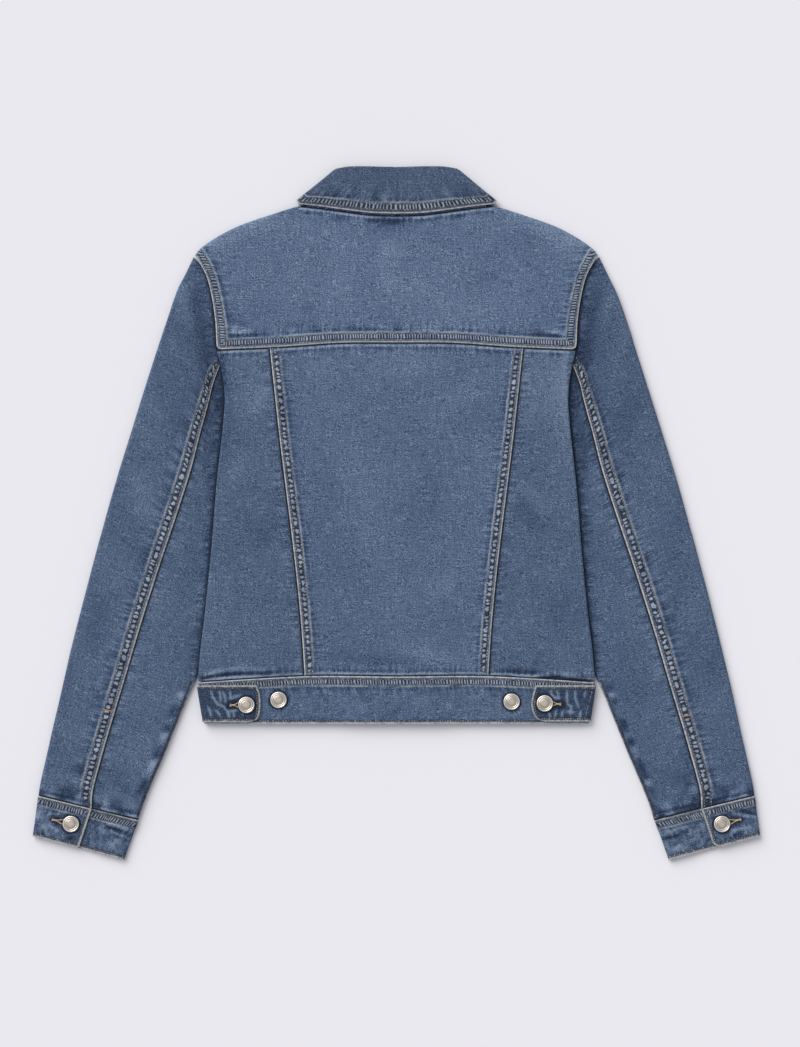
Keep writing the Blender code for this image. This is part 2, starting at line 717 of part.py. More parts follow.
def collar_point(station, depth, along):
    """A point of the collar's middle: depth is its radius, along its share from seam or edge."""
    turn = math.radians(station.turn)
    sewn = np.array([station.sewn_x, station.sewn_y])
    roll = np.array([station.roll_x, station.roll_y])
    edge = np.array([station.edge_x, station.edge_y])
    away = (roll - edge) / np.hypot(*(roll - edge))
    if depth == STAND_RADIUS:
        xy = sewn + (roll - sewn) * along
    elif depth == FALL_RADIUS:
        xy = roll + (edge - roll) * along
    else:
        angle = math.pi * along
        middle = (STAND_RADIUS + FALL_RADIUS) / 2
        depth = middle - (FALL_RADIUS - STAND_RADIUS) / 2 * math.cos(angle)
        xy = roll + away * (FALL_RADIUS - STAND_RADIUS) / 2 * math.sin(angle)
    xy = xy + np.array(NECK_SIDE_OUT) * depth * math.cos(turn)
    return (*xy, COLLAR_MIDDLE + depth * math.sin(turn))


def make_collar(jacket):
    section = [(STAND_RADIUS, share) for share in (0, 0.5, 1)]
    section += [(0, share) for share in (0.25, 0.5, 0.75)]
    section += [(FALL_RADIUS, share) for share in (0, 0.5, 1)]
    points = [[collar_point(s, depth, share) for s in COLLARS] for depth, share in section]
    collar = panel(
        jacket, "collar", np.array(points)[::-1], DENIM_TRIM, ply=BAND, mirrored=True
    )
    collar.modifiers["cloth"].offset = 0


def make_button(jacket, name, x, y, height, faces_down=False):
    """A turned jacket button: a domed cap with a rim, on a short shank that meets the cloth."""
    radius = BUTTON / 2
    profile = (
        (0.0, 1.0),
        (0.44, 0.94),
        (0.74, 0.80),
        (0.86, 0.98),
        (1.0, 0.72),
        (1.0, 0.34),
        (0.90, 0.16),
        (0.42, 0.16),
        (0.42, 0.0),
        (0.0, 0.0),
    )
    mesh = bpy.data.meshes.new(name)
    shape = bmesh.new()
    spots = [
        shape.verts.new((out * radius * MM, 0, up * BUTTON_HEIGHT * MM)) for out, up in profile
    ]
    for first, second in zip(spots, spots[1:]):
        shape.edges.new((first, second))
    shape.to_mesh(mesh)
    shape.free()
    button = bpy.data.objects.new(name, mesh)
    turned = button.modifiers.new("turned", "SCREW")
    turned.steps = turned.render_steps = 16
    turned.use_merge_vertices = True
    turned.merge_threshold = 0.0001
    turned.use_smooth_shade = True
    button.location = (x * MM, (y + CENTRE_Y) * MM, height * MM)
    if faces_down:
        button.rotation_euler = (math.pi, 0, 0)
    put_away(button, jacket, name, NICKEL, metallic=1.0, roughness=0.35)


def make_buttons(jacket):
    for number, y in enumerate(FRONT_BUTTONS, 1):
        make_button(jacket, f"button_front_{number}", 0, y, BUTTON_HEIGHT, faces_down=True)
    for button in BACK_BUTTONS:
        cloth = float(band_top(button.x, button.y)) + BAND + LAYER
        cloth += (BAND + LAYER) * button.on_tab
        make_button(jacket, button.name, button.x, button.y, cloth)
    for side, name in ((-1, "button_cuff_left"), (1, "button_cuff_right")):
        make_button(jacket, name, side * CUFF_BUTTON[0], CUFF_BUTTON[1], 2 * CUFF_OUTER_RADIUS + LAYER)


def make_jacket():
    clear_scene()
    jacket = bpy.data.collections.new("denim jacket")
    bpy.context.scene.collection.children.link(jacket)
    make_back_yoke(jacket)
    make_back_centre(jacket)
    make_waistband(jacket)
    make_collar(jacket)
    for side, word in ((-1, "left"), (1, "right")):
        make_back_side(jacket, side, f"back_side_{word}")
        make_sleeve(jacket, side, f"sleeve_top_{word}", f"sleeve_under_{word}")
        make_cuff(jacket, side, f"cuff_{word}")
        make_tab(jacket, side, f"tab_{word}")
    make_front(jacket, 1, "front_right", CLOSURE_RISE)
    make_front(jacket, -1, "front_left", CLOSURE_RISE + CLOTH + LAYER)
    make_buttons(jacket)


make_jacket()
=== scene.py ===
"""The looks of a women's denim jacket, buttoned up and laid on its front with its back uppermost.

Lengths are worked out in millimetres, with +Y to the collar and +X to the wearer's right, and are
turned to metres where a mesh is made.
"""

import math
from collections import namedtuple

import bpy
import numpy as np
from mathutils import Matrix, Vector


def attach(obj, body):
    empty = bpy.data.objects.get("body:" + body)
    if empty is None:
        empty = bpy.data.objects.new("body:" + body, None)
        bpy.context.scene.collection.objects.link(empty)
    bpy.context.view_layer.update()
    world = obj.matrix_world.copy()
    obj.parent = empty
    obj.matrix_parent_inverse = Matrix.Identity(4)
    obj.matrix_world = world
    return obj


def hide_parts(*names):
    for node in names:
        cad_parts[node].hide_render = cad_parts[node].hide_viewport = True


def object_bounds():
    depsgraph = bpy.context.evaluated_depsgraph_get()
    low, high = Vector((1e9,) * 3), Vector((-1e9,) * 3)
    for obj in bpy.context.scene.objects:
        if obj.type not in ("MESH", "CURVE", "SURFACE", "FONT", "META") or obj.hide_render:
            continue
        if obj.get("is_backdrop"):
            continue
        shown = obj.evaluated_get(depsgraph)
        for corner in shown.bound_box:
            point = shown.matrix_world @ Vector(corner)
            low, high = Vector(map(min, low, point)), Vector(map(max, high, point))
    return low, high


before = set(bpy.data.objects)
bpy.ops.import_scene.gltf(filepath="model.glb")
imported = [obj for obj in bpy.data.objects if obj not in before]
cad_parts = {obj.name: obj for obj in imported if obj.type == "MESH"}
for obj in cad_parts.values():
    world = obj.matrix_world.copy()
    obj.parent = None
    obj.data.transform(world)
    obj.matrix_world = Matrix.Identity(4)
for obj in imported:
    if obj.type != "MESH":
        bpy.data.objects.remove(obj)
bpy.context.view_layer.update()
bpy.ops.object.select_all(action="DESELECT")

# ---------------------------------------------------------------------------- Back centre panel
# The middle of the back is one piece of stonewashed stretch denim, cut on the straight grain. Its
# long edges are turned under and lapped over the side panels as flat-felled seams, sewn down with
# two rows of topstitching that draw the cloth into small ladder-like puckers between them.

MM = 0.001
CLOTH = 1.2  # one ply of denim
SEAM = 0.4  # between two panels that meet
BODY_TOP = 6.3  # the height of the back's outer face, away from its sides
PLACKET = 17.0  # half the width of the buttoned closure
CENTRE_Y = 1.2  # the move that centres the jacket
RIDGE, WAIST_RIDGE = 0.7, 1.9  # how far the back rises over the closure, and at the waist

# The body's side from the hem up: half its width, and the heights of its fold's two faces
Side = namedtuple("Side", "y half_width top under")
SIDES = (
    Side(-216, 196.0, 6.4, 0.0),
    Side(-196, 199.5, 6.6, 0.6),
    Side(-174, 202.2, 7.6, 2.8),
    Side(-150, 200.8, 9.3, 4.9),
    Side(-100, 195.0, 9.3, 4.9),
    Side(-49, 190.0, 9.3, 4.9),
    Side(33, 183.0, 9.3, 4.9),
    Side(94, 176.5, 9.3, 4.9),
    Side(116, 175.0, 9.2, 4.8),
    Side(133, 176.2, 8.5, 4.6),
    Side(150, 179.3, 7.8, 4.4),
    Side(167, 183.3, 7.2, 4.1),
    Side(194, 185.1, 6.7, 3.8),
    Side(217, 188.3, 6.4, 3.4),
    Side(242, 194.8, 6.3, 3.3),
    Side(261, 205.2, 6.3, 3.3),
)
# Where the seams run, from the centre line out or from the waist up
SeamPoint = namedtuple("SeamPoint", "x y")
YOKE_SEAM = (SeamPoint(0, 172.8), SeamPoint(57, 172.5), SeamPoint(119, 168.3), SeamPoint(184, 165.5))
WAIST_SEAM = (SeamPoint(0, -167.6), SeamPoint(90, -167.2), SeamPoint(150, -170), SeamPoint(203, -173.6))
BACK_SEAM = (SeamPoint(93.8, -168), SeamPoint(96.2, -131), SeamPoint(121.3, 94), SeamPoint(129.3, 168))

# A flat-felled seam across its width: how far in from its edge, and how far it stands proud. It
# dips under both rows of stitches
Fell = namedtuple("Fell", "inset rise")
FELL = (
    Fell(0, 0.30),
    Fell(0.5, 0.80),
    Fell(1.5, 0.95),
    Fell(2.6, 0.66),
    Fell(3.6, 0.95),
    Fell(5.4, 1.05),
    Fell(6.9, 0.98),
    Fell(8.3, 0.58),
    Fell(9.2, 0.78),
    Fell(10.2, 0.60),
    Fell(12.4, 0.0),
)
FELL_ROWS = (3, 7)  # the columns of the table that the two rows of stitches follow


def step(start, end, value):
    """0 before start, 1 after end, and smooth between."""
    share = np.clip((value - start) / (end - start), 0, 1)
    return share * share * (3 - 2 * share)


def follow(xs, ys, at):
    """A smooth curve through (xs, ys), read at the places given."""
    xs, ys, at = (np.asarray(v, float) for v in (xs, ys, at))
    slope = np.gradient(ys, xs)
    left = np.clip(np.searchsorted(xs, at) - 1, 0, len(xs) - 2)
    width = xs[left + 1] - xs[left]
    t = np.clip((at - xs[left]) / width, 0, 1)
    rise = t * t * (3 - 2 * t)
    lean = (t**3 - 2 * t**2 + t) * slope[left] + (t**3 - t**2) * slope[left + 1]
    return ys[left] + (ys[left + 1] - ys[left]) * rise + lean * width


def column(table, key, name, at):
    """A table's named column, read smoothly along its key column."""
    return follow([getattr(r, key) for r in table], [getattr(r, name) for r in table], at)


def side_x(y):
    """Half the body's width."""
    return column(SIDES, "y", "half_width", y)


def closure_height(x, stack):
    """The rise of a layer over the buttoned fronts, stack high at the centre line."""
    return stack * (1 - step(2 * PLACKET, 72, np.abs(x)))


def back_top(x, y):
    """The height of the back's outer face."""
    side = side_x(y)
    rise = column(SIDES, "y", "top", y) - BODY_TOP
    at_side = rise * step(side - 110, side - 50, np.abs(x))
    ridge = RIDGE + (WAIST_RIDGE - RIDGE) * step(-110, -165, y)
    return BODY_TOP + at_side + closure_height(x, ridge) * (1 - step(240, 295, y))


def waist_y(x):
    return column(WAIST_SEAM, "x", "y", np.abs(x))


def yoke_y(x):
    return column(YOKE_SEAM, "x", "y", np.abs(x))


def body_row_y(x, share):
    """The height of a body row, which runs from the waist seam to the yoke seam."""
    low, high = waist_y(x) + SEAM / 2, yoke_y(x) - SEAM / 2
    return low + (high - low) * share


def wander(at, pitch, seed):
    """An uneven smooth line between -1 and 1 that turns about every pitch millimetres."""
    dice = np.random.default_rng(seed).uniform(-1, 1, 512)
    place = np.asarray(at, float) / pitch + 150
    left = np.floor(place).astype(int)
    t = place - left
    t = t * t * (3 - 2 * t)
    return dice[left % 512] * (1 - t) + dice[(left + 1) % 512] * t


def puckers(along, away, seed, depth=0.32, pitch=6.5, reach=9.0):
    """The gathers beside a sewn seam: uneven ripples along it that die out away from it."""
    ripple = wander(along, pitch, seed) + 0.6 * wander(along, pitch * 0.55, seed + 1)
    return depth * ripple * np.exp(-np.abs(away) / reach)


# A soft ridge, or a trough where its depth is below 0, from one end to the other
Crease = namedtuple("Crease", "x y to_x to_y width depth")


def creases(table, x, y):
    """The rise and fall of the cloth over a table of soft ridges and troughs."""
    relief = np.zeros(np.shape(x))
    for c in table:
        way = np.array([c.to_x - c.x, c.to_y - c.y])
        length = np.hypot(*way)
        along = ((x - c.x) * way[0] + (y - c.y) * way[1]) / length**2
        off = ((x - c.x) * way[1] - (y - c.y) * way[0]) / length
        off = off + 0.12 * length * (np.clip(along, 0, 1) - 0.5) ** 2
        ends = step(-0.15, 0.3, along) * (1 - step(0.6, 1.15, along))
        relief += c.depth * ends * np.exp(-((off / c.width) ** 2))
    return relief


def fell_relief(away, scale=1.0):
    """How far a felled seam stands proud, away from its edge."""
    return np.interp(np.abs(away), [f.inset * scale for f in FELL], [f.rise for f in FELL])


def insets(scale=1.0):
    """How far in from its edge each column of a felled seam lies."""
    return np.array([f.inset * scale for f in FELL])


def even(start, end, pitch):
    """Even places between start and end, about pitch apart, without either."""
    count = max(2, round(abs(end - start) / pitch))
    return start + (end - start) * np.arange(1, count) / count


# Seam marks: a piece's faces each carry how far along and how far across their nearest seam they
# lie. Across is above 0 on the lapped side, below 0 on the side that runs under, and HEM more than
# the distance from the edge along a turned hem. Along is CHAIN more on the long seams, whose
# puckers run in a chain, and the two halves of the jacket start it at different places.
HEM = 1000.0
CHAIN = 3000.0
RIGHT_START = 400.0
LEFT_START = 137.0
Mark = namedtuple("Mark", "along across")
Laid = namedtuple("Laid", "piece outer normal")
# Folds are paler on their ridges and darker in their hollows: partly wash wear, partly painted shade
FOLD_WEAR_AND_SHADE = 0.16  # shades to the millimetre of rise


def lapped(along, away, kind=0.0):
    """The mark of a seam on the cloth that lies over."""
    return Mark(along + kind, np.maximum(away, 0.01))


def runs_under(along, away, kind=0.0):
    """The mark of a seam on the cloth that lies under."""
    return Mark(along + kind, np.minimum(-away, -0.01))


def seam_distance(across):
    """How near a marked point is to its seam."""
    return np.where(across >= HEM, across - HEM, np.abs(across))


def outward(points):
    """The way out of a grid of points, as an arrow one long at each."""
    normal = np.cross(np.gradient(points, axis=1), np.gradient(points, axis=0))
    return normal / (np.linalg.norm(normal, axis=-1, keepdims=True) + 1e-9)


def lay(
    name, inner, fell, folds, marks, materials,
    ply=CLOTH, above=1.0, lean=0.0, cut=None, dye=0.0, mirrored=False,
):
    """Lays a piece of cloth, with its grain and seams marked, through a grid of points that has a
    share of its thickness above it. fell and folds raise it, and folds also make their ridges
    paler and their hollows darker, partly as wash wear and partly as painted shade."""
    dye = dye + FOLD_WEAR_AND_SHADE * folds
    relief = fell + folds
    if mirrored:
        inner = inner[:, ::-1] * (-1, 1, 1)
        relief, dye = relief[:, ::-1], dye[:, ::-1]
        marks = [Mark(m.along[:, ::-1] + LEFT_START, m.across[:, ::-1]) for m in marks]
        cut = None if cut is None else cut[:, ::-1]
        lean = -lean
    rows, columns = inner.shape[:2]
    normal = outward(inner)
    # The relief fades out where the cloth turns to the floor
    faces_up = step(-0.5, 0.3, normal[..., 2])
    outer = inner + normal * (ply * above + relief * faces_up)[..., None]
    outer[..., 2] = np.maximum(outer[..., 2], 0)

    bpy.ops.mesh.primitive_grid_add(
        x_subdivisions=columns - 1, y_subdivisions=rows - 1, size=1, calc_uvs=False
    )
    piece = bpy.context.object
    mesh = piece.data
    piece.name = mesh.name = name
    mesh.vertices.foreach_set("co", ((outer + (0, CENTRE_Y, 0)) * MM).reshape(-1))

    # The grain runs with the warp; where the cloth turns over a fold its way round is added
    steps_across = np.diff(outer, axis=1, prepend=outer[:, :1])
    steps_along = np.diff(outer, axis=0, prepend=outer[:1])
    over = [
        np.cumsum(np.linalg.norm(s, axis=-1) - np.hypot(s[..., 0], s[..., 1]), axis=axis)
        for s, axis in ((steps_across, 1), (steps_along, 0))
    ]
    turn = math.radians(lean)
    grain_x = outer[..., 0] * math.cos(turn) + outer[..., 1] * math.sin(turn) + over[0]
    grain_y = -outer[..., 0] * math.sin(turn) + outer[..., 1] * math.cos(turn) + over[1]
    corner = np.empty(len(mesh.loops), np.int32)
    mesh.loops.foreach_get("vertex_index", corner)
    grain = np.stack([grain_x.reshape(-1)[corner], grain_y.reshape(-1)[corner]], -1) * MM
    mesh.uv_layers.new(name="grain").data.foreach_set("uv", grain.reshape(-1))

    # Each face takes the seam that it is nearest to, so no face is stretched between two seams
    along = np.array([np.broadcast_to(m.along, (rows, columns)).reshape(-1)[corner] for m in marks])
    across = np.array([np.broadcast_to(m.across, (rows, columns)).reshape(-1)[corner] for m in marks])
    near = seam_distance(across).reshape(len(marks), -1, 4).mean(-1)
    chosen = np.repeat(near.argmin(0), 4)
    every = np.arange(len(corner))
    seam = np.stack([along[chosen, every], across[chosen, every]], -1) * MM
    mesh.uv_layers.new(name="seam").data.foreach_set("uv", seam.reshape(-1))
    # Each point's tone, with its painted light and shade
    tone_per_point = np.broadcast_to(dye, (rows, columns)).astype(np.float32)
    mesh.attributes.new("dye", "FLOAT", "POINT").data.foreach_set("value", tone_per_point.reshape(-1))

    if cut is not None:
        bpy.context.tool_settings.mesh_select_mode = (False, False, True)
        mesh.polygons.foreach_set("select", np.ascontiguousarray(cut).reshape(-1))
        bpy.ops.object.mode_set(mode="EDIT")
        bpy.ops.mesh.delete(type="FACE")
        bpy.ops.object.mode_set(mode="OBJECT")
    for material in materials:
        mesh.materials.append(material)
    wall = piece.modifiers.new("cloth", "SOLIDIFY")
    wall.thickness = ply * MM
    wall.offset = -1
    wall.material_offset = len(materials) - 1
    bpy.ops.object.modifier_apply(modifier="cloth")
    mesh.shade_smooth()
    mesh.set_sharp_from_angle(angle=math.radians(55))
    piece.select_set(False)
    return Laid(piece, outer, normal)


def linear(code):
    """An sRGB hex colour as the linear one that a shader takes."""
    parts = [int(code[i : i + 2], 16) / 255 for i in (1, 3, 5)]
    return (*(p / 12.92 if p <= 0.04045 else ((p + 0.055) / 1.055) ** 2.4 for p in parts), 1.0)


def add(tree, kind, inputs=(), **settings):
    """Adds a node with its settings, and sets or links its inputs, in their order or by name."""
    node = tree.nodes.new(kind)
    for name, value in settings.items():
        setattr(node, name, value)
    for key, value in inputs.items() if isinstance(inputs, dict) else enumerate(inputs):
        socket = node.inputs[key]
        if isinstance(value, bpy.types.NodeSocket):
            tree.links.new(value, socket)
        else:
            socket.default_value = value
    return node


def bare_material(name):
    """A new material, its node tree and its main shader."""
    material = bpy.data.materials.new(name)
    material.use_nodes = True
    return material, material.node_tree, material.node_tree.nodes["Principled BSDF"]


def denim(name, wash, seed, crumple=0.0):
    """Stonewashed 3x1 twill. wash is how light it came out, 1 at its lightest, and crumple is how
    blotched. Blue warp over a pale weft gives a fine mottle, and the wash has paled the ridges;
    the hollows beside the seams are darkened with painted shade, and the mesh adds its own tone
    and painted light and shade."""
    material, tree, shader = bare_material(name)

    def sum_of(start, *parts):
        """start, and the product of each part's two values."""
        for value, times in parts:
            inputs = value, times, start
            start = add(tree, "ShaderNodeMath", inputs, operation="MULTIPLY_ADD").outputs[0]
        return start

    def about_middle(parts):
        """A middle value that each pattern raises and lowers by its strength."""
        return sum_of(0.5 - 0.5 * sum(strength for _, strength in parts), *parts)

    def both(first, *more):
        """Where all of its patterns are, as their product."""
        for value in more:
            first = add(tree, "ShaderNodeMath", (first, value), operation="MULTIPLY").outputs[0]
        return first

    def fade(value, start, end, low=0.0, high=1.0):
        """low before start, high after end, and smooth between."""
        inputs = value, start, end, low, high
        smooth = add(tree, "ShaderNodeMapRange", inputs, interpolation_type="SMOOTHSTEP")
        return smooth.outputs[0]

    def band(value, start, full, still, end):
        """1 where a value lies from full to still, and nothing before start or after end."""
        return both(fade(value, start, full), fade(value, still, end, 1, 0))

    def cloudy(vector, stretch, detail=1.0, rough=0.55):
        """Uneven patches; stretch is how many there are to the millimetre in each direction."""
        place = {"Vector": vector, "Scale": (*stretch, 1), "Location": (seed, seed * 1.7, 0.93)}
        place = add(tree, "ShaderNodeMapping", place).outputs[0]
        inputs = {"Vector": place, "Scale": 1.0, "Detail": detail, "Roughness": rough}
        return add(tree, "ShaderNodeTexNoise", inputs).outputs[0]

    def millimetres(uv_map):
        """The place on a UV map, in millimetres."""
        inputs = {0: add(tree, "ShaderNodeUVMap", uv_map=uv_map).outputs[0], "Scale": 1 / MM}
        return add(tree, "ShaderNodeVectorMath", inputs, operation="SCALE").outputs[0]

    def washed(code):
        """A colour as the wash left it."""
        red, green, blue, alpha = linear(code)
        return red * wash**1.15, green * wash**1.05, blue * wash, alpha

    thread, seam = millimetres("grain"), millimetres("seam")
    grain_x, grain_y, _ = add(tree, "ShaderNodeSeparateXYZ", (thread,)).outputs
    along, across, _ = add(tree, "ShaderNodeSeparateXYZ", (seam,)).outputs
    dye = add(tree, "ShaderNodeAttribute", attribute_name="dye").outputs["Fac"]

    # The mottle is about 1.1 mm across, twice the real yarn's pitch, the finest that shows. The wash
    # has crinkled the face into fine curls that lie about 3 mm apart
    mottle = cloudy(thread, (0.95, 0.88), 2.0, 0.75)
    slub = cloudy(thread, (0.80, 0.05))
    pick = cloudy(thread, (0.05, 0.70))
    cloud = cloudy(thread, (0.020, 0.016), 0.5)
    bent = sum_of(both(grain_x, 0.7), (cloudy(thread, (0.15, 0.19)), 30.0), (grain_y, 1.9))
    curls = add(tree, "ShaderNodeMath", (bent,), operation="SINE").outputs[0]
    crinkled = fade(cloudy(thread, (0.09, 0.07)), 0.36, 0.60, 0.15, 0.5)
    curls = sum_of(0.5, (curls, crinkled))
    blotches = cloudy(thread, (0.15, 0.12), 3.0, 0.6)
    grain = [(mottle, 1.75), (slub, 0.32), (pick, 0.28), (cloud, 0.12), (curls, 0.36)]
    tone = sum_of(about_middle([*grain, (blotches, crumple)]), (dye, 1.0))

    # Where the face lies: on a lap, on the cloth that runs under one, or on a turned hem
    hem = fade(across, HEM / 2, HEM / 2 + 0.1)
    lap = both(fade(across, 0.0, 0.05), fade(across, HEM / 2, HEM / 2 + 0.1, 1, 0))
    under = fade(across, 0.0, -0.05)
    apart = add(tree, "ShaderNodeMath", (across,), operation="ABSOLUTE").outputs[0]
    hem_way = sum_of(-HEM, (across, 1.0))
    chain = fade(along, CHAIN / 2, CHAIN / 2 + 1)
    plain = sum_of(1.0, (chain, -1.0))
    uneven = fade(cloudy(seam, (0.045, 0.03), 2.0), 0.34, 0.62)
    ripples = fade(cloudy(seam, (0.26, 0.05), 1.5), 0.36, 0.64)

    # The ladder between the two rows of stitches: bars 2.75 mm apart on the crosswise seams and the
    # armholes, and on the long seams a chain of pale links, 5.5 mm long and ragged
    drift = both(cloudy(seam, (0.07, 0.0), 2.0), 16.0)
    slant = both(across, sum_of(-0.5, (cloudy(seam, (0.03, 0.0)), 1.2)))
    bar_way = sum_of(drift, (along, 2 * math.pi / 2.75), (slant, 1.0))
    wave = add(tree, "ShaderNodeMath", (bar_way,), operation="SINE").outputs[0]
    bars = sum_of(-0.1, (wave, 0.5), (cloudy(seam, (0.5, 0.25)), 1.2))
    link_way = sum_of(both(along, 1 / 5.5), (drift, 0.16))
    link = add(tree, "ShaderNodeMath", (link_way,), operation="FRACT").outputs[0]
    link = sum_of(-0.5, (link, 1.0))
    aside = sum_of(-7.5, (cloudy(seam, (0.16, 0.0)), 4.0), (across, 1.0))
    aside = both(aside, 1 / 6.3)
    links = fade(sum_of(both(aside, aside), (link, link)), 0.20, 0.01)
    links = sum_of(-1.2, (links, 1.0), (cloudy(seam, (0.34, 0.36)), 2.4))
    ladder = sum_of(both(bars, plain), (links, chain))
    inside = both(lap, band(across, 2.8, 3.4, 7.6, 8.1))
    groups = fade(cloudy(seam, (0.05, 0.01)), 0.34, 0.66)
    hollow = both(inside, fade(ladder, 0.56, 0.28), sum_of(1.0, (groups, -0.2)))
    crest = both(inside, fade(ladder, 0.50, 0.90), sum_of(0.40, (groups, 0.45)))

    # Puckers that die out beside the seam, and the soft ridges and troughs on both sides of it. The
    # puckers are paler on top and darker between, partly wash wear and partly painted shade, and
    # the troughs and the cloth just beside a long seam's lapped edge carry painted shade
    beside = both(lap, band(across, 8.8, 10.0, 12.0, 24.0))
    beside = sum_of(beside, (under, band(apart, 1.4, 3.0, 4.0, 15.0)))
    ruffled = both(beside, sum_of(-0.5, (ripples, 1.0)))
    ridge = both(lap, band(across, 8.6, 9.4, 10.0, 11.0))
    light_line = both(under, plain, band(apart, 1.3, 2.0, 2.9, 4.2), fade(dye, -0.3, -0.08))
    dark_line = sum_of(
        both(lap, band(across, 10.9, 11.8, 12.2, 15.5), 0.6),
        (both(under, plain, band(apart, 4.0, 5.0, 5.8, 8.6)), 0.8),
        (both(under, chain, band(apart, 0.3, 1.0, 1.6, 4.4)), 0.7),
    )
    tone = sum_of(
        tone,
        (ruffled, 0.26),
        (ridge, sum_of(0.04, (uneven, 0.12))),
        (light_line, sum_of(0.22, (uneven, 0.28))),
        (dark_line, sum_of(-0.08, (uneven, -0.20))),
    )
    ramp = add(tree, "ShaderNodeValToRGB", (tone,))
    ramp.color_ramp.elements[0].color = washed("#26344f")
    ramp.color_ramp.elements[1].color = washed("#9babc4")
    ramp.color_ramp.elements.new(0.5).color = washed("#586c8c")

    # The worn fold at the very edge, the painted shadow that it throws on the cloth under it,
    # and the sunk, rubbed cloth along both rows of stitches, with painted shade there, in the
    # stitch holes and in the dents along a hem
    rubbed = fade(cloudy(seam, (0.35, 0.1), 2.0), 0.30, 0.60, 0.40, 1.0)
    edge = both(lap, fade(across, 0.5, 1.6, 1, 0))
    frayed = sum_of(-1.2, (hem_way, 1.0), (cloudy(seam, (0.16, 0.02), 2.0), 2.4))
    worn_hem = both(hem, fade(frayed, 1.2, 2.3, 1, 0))
    rows = sum_of(band(across, 2.2, 2.8, 3.4, 3.9), (band(across, 7.7, 8.0, 8.6, 9.0), 1.0))
    rows = sum_of(both(lap, rows), (hem, band(hem_way, 2.0, 2.5, 3.6, 4.2)))
    holes = fade(cloudy(seam, (0.62, 0.2)), 0.46, 0.56)
    dents = both(hem, band(hem_way, 2.0, 2.6, 3.6, 7.0), fade(bars, 0.7, 0.2), uneven)
    painted_seam_shadow = both(under, fade(apart, 0.8, 1.7, 1, 0))

    colour = ramp.outputs[0]
    for share, shade in (
        (both(ridge, sum_of(0.04, (uneven, 0.36))), "#a4a8ae"),
        (crest, "#a4afba"),
        (both(hollow, 0.95), "#182031"),
        (both(edge, rubbed, 0.95), "#c3bfba"),
        (both(worn_hem, rubbed, 0.85), "#adaeac"),
        (both(rows, 0.8), "#45454e"),
        (both(rows, holes, 0.7), "#1f2636"),
        (both(dents, 0.65), "#1b2537"),
        (both(painted_seam_shadow, 0.95), "#10161f"),
    ):
        layers = {0: share, 6: colour, 7: linear(shade)}
        colour = add(tree, "ShaderNodeMix", layers, data_type="RGBA").outputs[2]

    height = about_middle([(mottle, 0.75), (curls, 0.2), (slub, 0.2), (pick, 0.2)])
    height = sum_of(height, (both(inside, ladder), 0.8), (ruffled, 1.6), (rows, -0.6))
    bump = add(tree, "ShaderNodeBump", {"Height": height, "Strength": 0.9, "Distance": 0.0006})
    tree.links.new(colour, shader.inputs["Base Color"])
    tree.links.new(bump.outputs[0], shader.inputs["Normal"])
    tree.links.new(fade(tone, 0.1, 0.9, 0.92, 0.78), shader.inputs["Roughness"])
    shader.inputs["Specular IOR Level"].default_value = 0.2
    shader.inputs["Sheen Weight"].default_value = 0.1
    shader.inputs["Sheen Roughness"].default_value = 0.55
    shader.inputs["Sheen Tint"].default_value = linear("#c3cfe0")
    return material


def denim_reverse(name):
    """The wrong side of the same twill, where the pale weft lies on top and the blue only flecks it."""
    material, tree, shader = bare_material(name)
    place = add(tree, "ShaderNodeTexCoord").outputs["Object"]
    flecks = add(tree, "ShaderNodeTexNoise", {"Vector": place, "Scale": 620.0, "Detail": 2.5})
    twill = add(tree, "ShaderNodeTexWave", {"Vector": place, "Scale": 180.0, "Distortion": 2.0})
    shade = 0.05
    for pattern, strength in ((flecks.outputs[0], 0.8), (twill.outputs[1], 0.15)):
        inputs = pattern, strength, shade
        shade = add(tree, "ShaderNodeMath", inputs, operation="MULTIPLY_ADD").outputs[0]
    ramp = add(tree, "ShaderNodeValToRGB", (shade,))
    blue, pale = ramp.color_ramp.elements
    blue.position, blue.color = 0.25, linear("#67788f")
    pale.position, pale.color = 0.8, linear("#b9c2cc")
    tree.links.new(ramp.outputs[0], shader.inputs["Base Color"])
    bump = add(tree, "ShaderNodeBump", {"Height": shade, "Strength": 0.5, "Distance": 0.0004})
    tree.links.new(bump.outputs[0], shader.inputs["Normal"])
    shader.inputs["Roughness"].default_value = 0.9
    shader.inputs["Specular IOR Level"].default_value = 0.2
    return material


reverse = denim_reverse("denim wrong side")
BODY = (denim("washed denim back", 0.76, 3.1), reverse)


def topstitch_thread(name, dark, middle, light):
    """Core-spun polyester topstitching, dyed and then rubbed pale by the wash, stitch by stitch."""
    material, tree, shader = bare_material(name)
    worn = add(tree, "ShaderNodeAttribute", attribute_name="worn").outputs["Fac"]
    ramp = add(tree, "ShaderNodeValToRGB", (worn,))
    ramp.color_ramp.elements[0].color = linear(dark)
    ramp.color_ramp.elements[1].color = linear(light)
    ramp.color_ramp.elements.new(0.5).color = linear(middle)
    tree.links.new(ramp.outputs[0], shader.inputs["Base Color"])
    place = add(tree, "ShaderNodeTexCoord").outputs["Object"]
    plies = add(tree, "ShaderNodeTexNoise", {"Vector": place, "Scale": 1800.0, "Detail": 1.0})
    inputs = {"Height": plies.outputs[0], "Strength": 0.5, "Distance": 0.0002}
    bump = add(tree, "ShaderNodeBump", inputs)
    tree.links.new(bump.outputs[0], shader.inputs["Normal"])
    shader.inputs["Roughness"].default_value = 0.6
    shader.inputs["Sheen Weight"].default_value = 0.2
    return material


faded_thread = topstitch_thread("faded topstitch thread", "#333033", "#6e6a6a", "#a8a4a1")


